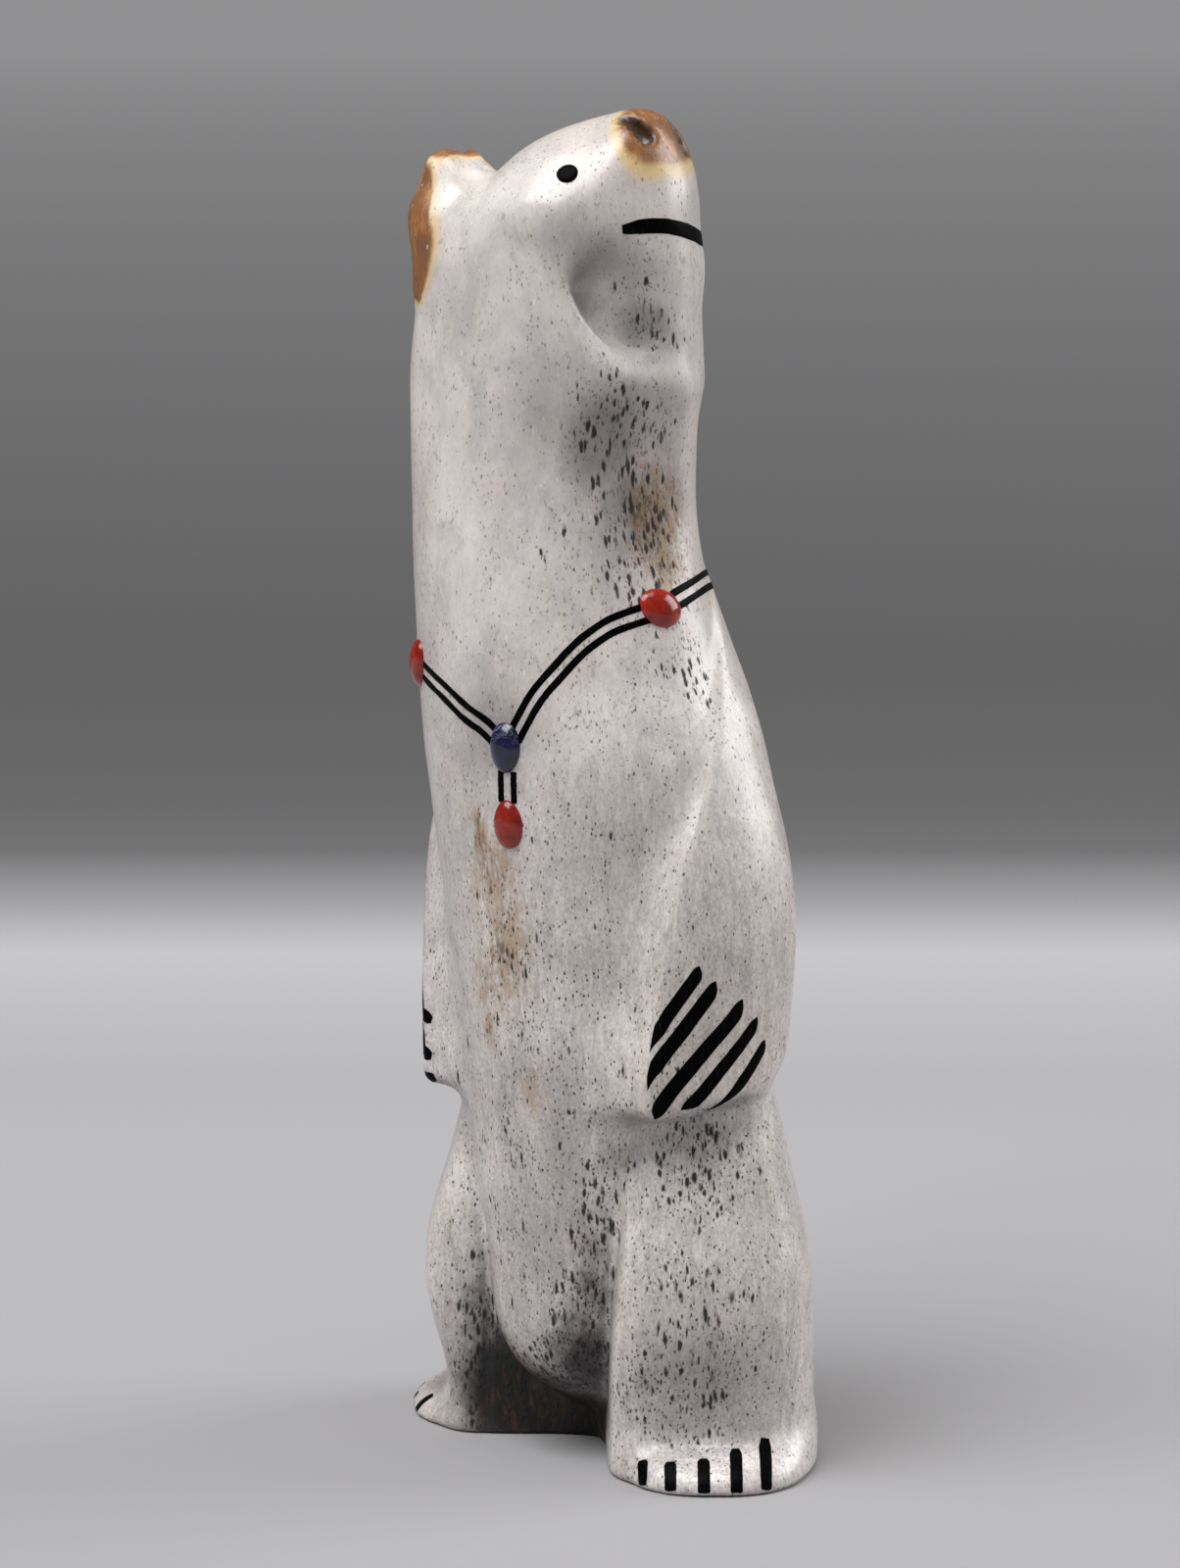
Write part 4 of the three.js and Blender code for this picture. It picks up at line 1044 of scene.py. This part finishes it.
def makeStrip(name, node, stops, sizes, seed, count=40):
    curve = bpy.data.curves.new(name, "CURVE")
    curve.dimensions = "3D"
    line = toMetres(curveThrough(stops, count))
    spline = curve.splines.new("POLY")
    spline.points.add(len(line) - 1)
    spline.points.foreach_set("co", np.concatenate([line, np.ones((len(line), 1))], 1).ravel())
    guide = addObject(name + "Line", curve)
    modifier = guide.modifiers.new("strip", "NODES")
    modifier.node_group = stripTree
    values = {"Bear": bear, "Seed": float(seed), "Finish": finishes["jet"], **stripSizes["all"], **sizes}
    for key, value in values.items():
        if key in ("Width", "Wander", "Rise", "Depth"):
            value = value * 0.001
        modifier[stripInputs[key]] = value
    graph = bpy.context.evaluated_depsgraph_get()
    mesh = bpy.data.meshes.new_from_object(guide.evaluated_get(graph), depsgraph=graph)
    guide.modifiers.remove(modifier)
    bpy.data.objects.remove(guide)
    bpy.data.curves.remove(curve)
    mesh.name = name
    smooth(mesh, 50)
    finishPiece(addObject(name, mesh), "jet", node)


necklace = {
    "gap": 1.15,     # millimetres between the middles of a pair of strands
    # stops of the line between a pair: degrees round the trunk from the front, height
    "left": [[13.5, 54.2], [18, 55.8], [23, 57.4], [32, 59.3], [41, 60.9], [54, 62.3], [66, 62.9],
             [76, 63.2]],
    "right": [[-42, 58.1], [-35, 57.7], [-22, 56.8], [-10, 55.7], [0, 54.9], [7, 54]],
    "back": [[86, 63.6], [100, 64.2], [120, 64.6], [145, 64.4], [170, 63.6], [195, 62.4], [220, 60.9],
             [245, 59.8], [270, 59], [292, 58.5], [309, 58.4]],
    "pendantGap": 1.3,
    "pendantAngle": 11,
    "pendantHeights": [51.9, 50.8, 49.6],
}
turnLength = math.radians(1) * 11    # one degree round the trunk, in drawing units
seed = 0
for part in ("left", "right", "back"):
    rows = necklace[part]
    for level, side in (("upper", 1), ("lower", -1)):
        stops = []
        for i, (angle, z) in enumerate(rows):
            before, after = rows[max(i - 1, 0)], rows[min(i + 1, len(rows) - 1)]
            around, rise = (after[0] - before[0]) * turnLength, after[1] - before[1]
            shift = side * necklace["gap"] * millimetre / 2 / math.hypot(around, rise)
            stops.append(onTrunk(angle - shift * rise / turnLength, z + shift * around)[0])
        seed += 3
        makeStrip(f"{part}{level.title()}Strand", f"{part}_{level}_strand", stops, stripSizes["strand"], seed,
                  120 if part == "back" else 60)
for part, side in (("right", -1), ("left", 1)):
    shift = side * necklace["pendantGap"] * millimetre / 2 / (math.radians(1) * 10.6)
    stops = [onTrunk(necklace["pendantAngle"] + shift, z)[0] for z in necklace["pendantHeights"]]
    seed += 3
    makeStrip(f"{part}PendantStrand", f"{part}_pendant_strand", stops, stripSizes["strand"], seed)

clawSizes = {
    "names": ("first", "second", "third", "fourth", "fifth"),
    # places of each claw of the hand as y, z from the fingertip up, and how it starts
    "hand": [([[-5.87, 32.3], [-5.72, 33.26], [-5.34, 34.57], [-4.44, 36.38], [-3.25, 38.4]],
              {"Width": 1.13, "Start Round": 0.24, "Start Blunt": 0.0, "Start Bend": 1.0}),
             ([[-6, 29.45], [-5.85, 30.5], [-5.53, 31.43], [-4.32, 33.67], [-3.16, 35.63], [-2.1, 37.2]],
              {"Width": 1.25, "Start Round": 0.20, "Start Blunt": 0.0, "Start Bend": 1.0}),
             ([[-5.65, 27.4], [-4.69, 29.39], [-3.27, 31.49], [-2.33, 32.74], [-1.01, 34.24], [0.1, 35.65]],
              {"Width": 1.31, "Start Slant": 0.04}),
             ([[-3.92, 27.75], [-2.98, 28.85], [-1.46, 30.73], [0.02, 32.4], [1.55, 34.15]],
              {"Width": 1.16, "Start Slant": -0.08}),
             ([[-2.15, 27.72], [-1.45, 28.05], [-0.54, 28.77], [1.01, 30.42], [2.55, 32.3]],
              {"Width": 1.06, "Start Round": 0.5, "Start Blunt": 0.0, "Start Bend": 0.7})],
    "handEnd": {"End Slant": -0.05},
    # x, z where claws of the right hand reach round to its front
    "rightTips": [(-10.5, 31.2), (-10.4, 28.5), (-10.2, 26.9)],
    # place across the foot, top
    "leftFoot": [[-5.2, 1.9], [-3.2, 2.05], [-0.8, 2.25], [1.55, 2.65], [3.7, 3.2]],
    "rightFoot": [[-2.6, 1.6], [0.8, 0.85], [2.8, 1.0], [4.5, 1.2], [5.9, 1.45]],
    "sole": 0.35,
    "footClaw": {"Width": 1.05, "Start Round": 0.02, "Start Blunt": 0.6, "End Round": 0.14, "End Blunt": 0.4},
}
for side, sign in (("left", 1), ("right", -1)):
    drop = armShape["rightDrop"] if side == "right" else 0.0
    tips = clawSizes["rightTips"] if side == "right" else []
    for i, (name, (rows, ends)) in enumerate(zip(clawSizes["names"], clawSizes["hand"])):
        stops = [touch([sign * 22, y, z - drop], [-sign, 0, 0])[0] for y, z in rows]
        if i < len(tips):
            stops.insert(0, touch([tips[i][0], -22, tips[i][1]], [0, 1, 0])[0])
            ends = {"Width": ends["Width"]}
        sizes = {**stripSizes["claw"], **clawSizes["handEnd"], **ends}
        for slant in ("Start Slant", "End Slant"):
            sizes[slant] = sizes.get(slant, 0.0) * sign
        seed += 3
        makeStrip(f"{side}Hand{name.title()}Claw", f"{side}_hand_{name}_claw", stops, sizes, seed)
    for name, (across, top) in zip(clawSizes["names"], clawSizes[side + "Foot"]):
        start = [sign * (legShape["middle"][0] + (across + 20) * math.sqrt(0.5)),
                 legShape["middle"][1] + (across - 20) * math.sqrt(0.5)]
        stops = [touch([*start, z], [-sign, 1, 0])[0]
                 for z in np.linspace(clawSizes["sole"], top, 4)]
        seed += 3
        makeStrip(f"{side}Foot{name.title()}Claw", f"{side}_foot_{name}_claw", stops,
                  {**stripSizes["claw"], **clawSizes["footClaw"]}, seed)
print("strands and claws made")

mouthHeights = [[-72, 89.6], [-60, 89.8], [-45, 90], [-15, 89.9], [20, 89.6], [50, 89.5], [72, 89.2]]
stops = []
for angle in range(-72, 73, 18):
    turn = math.radians(angle)
    h = along(mouthHeights, angle)
    start = fromHead(headShape["muzzleMiddle"] + 14 * math.cos(turn), 14 * math.sin(turn), h)
    back = fromHead(headShape["muzzleMiddle"], 0, h)
    stops.append(touch(start, [back[0] - start[0], back[1] - start[1], 0])[0])
makeStrip("mouthStrip", "mouth", stops, stripSizes["mouth"], 91, 80)
print("mouth made")
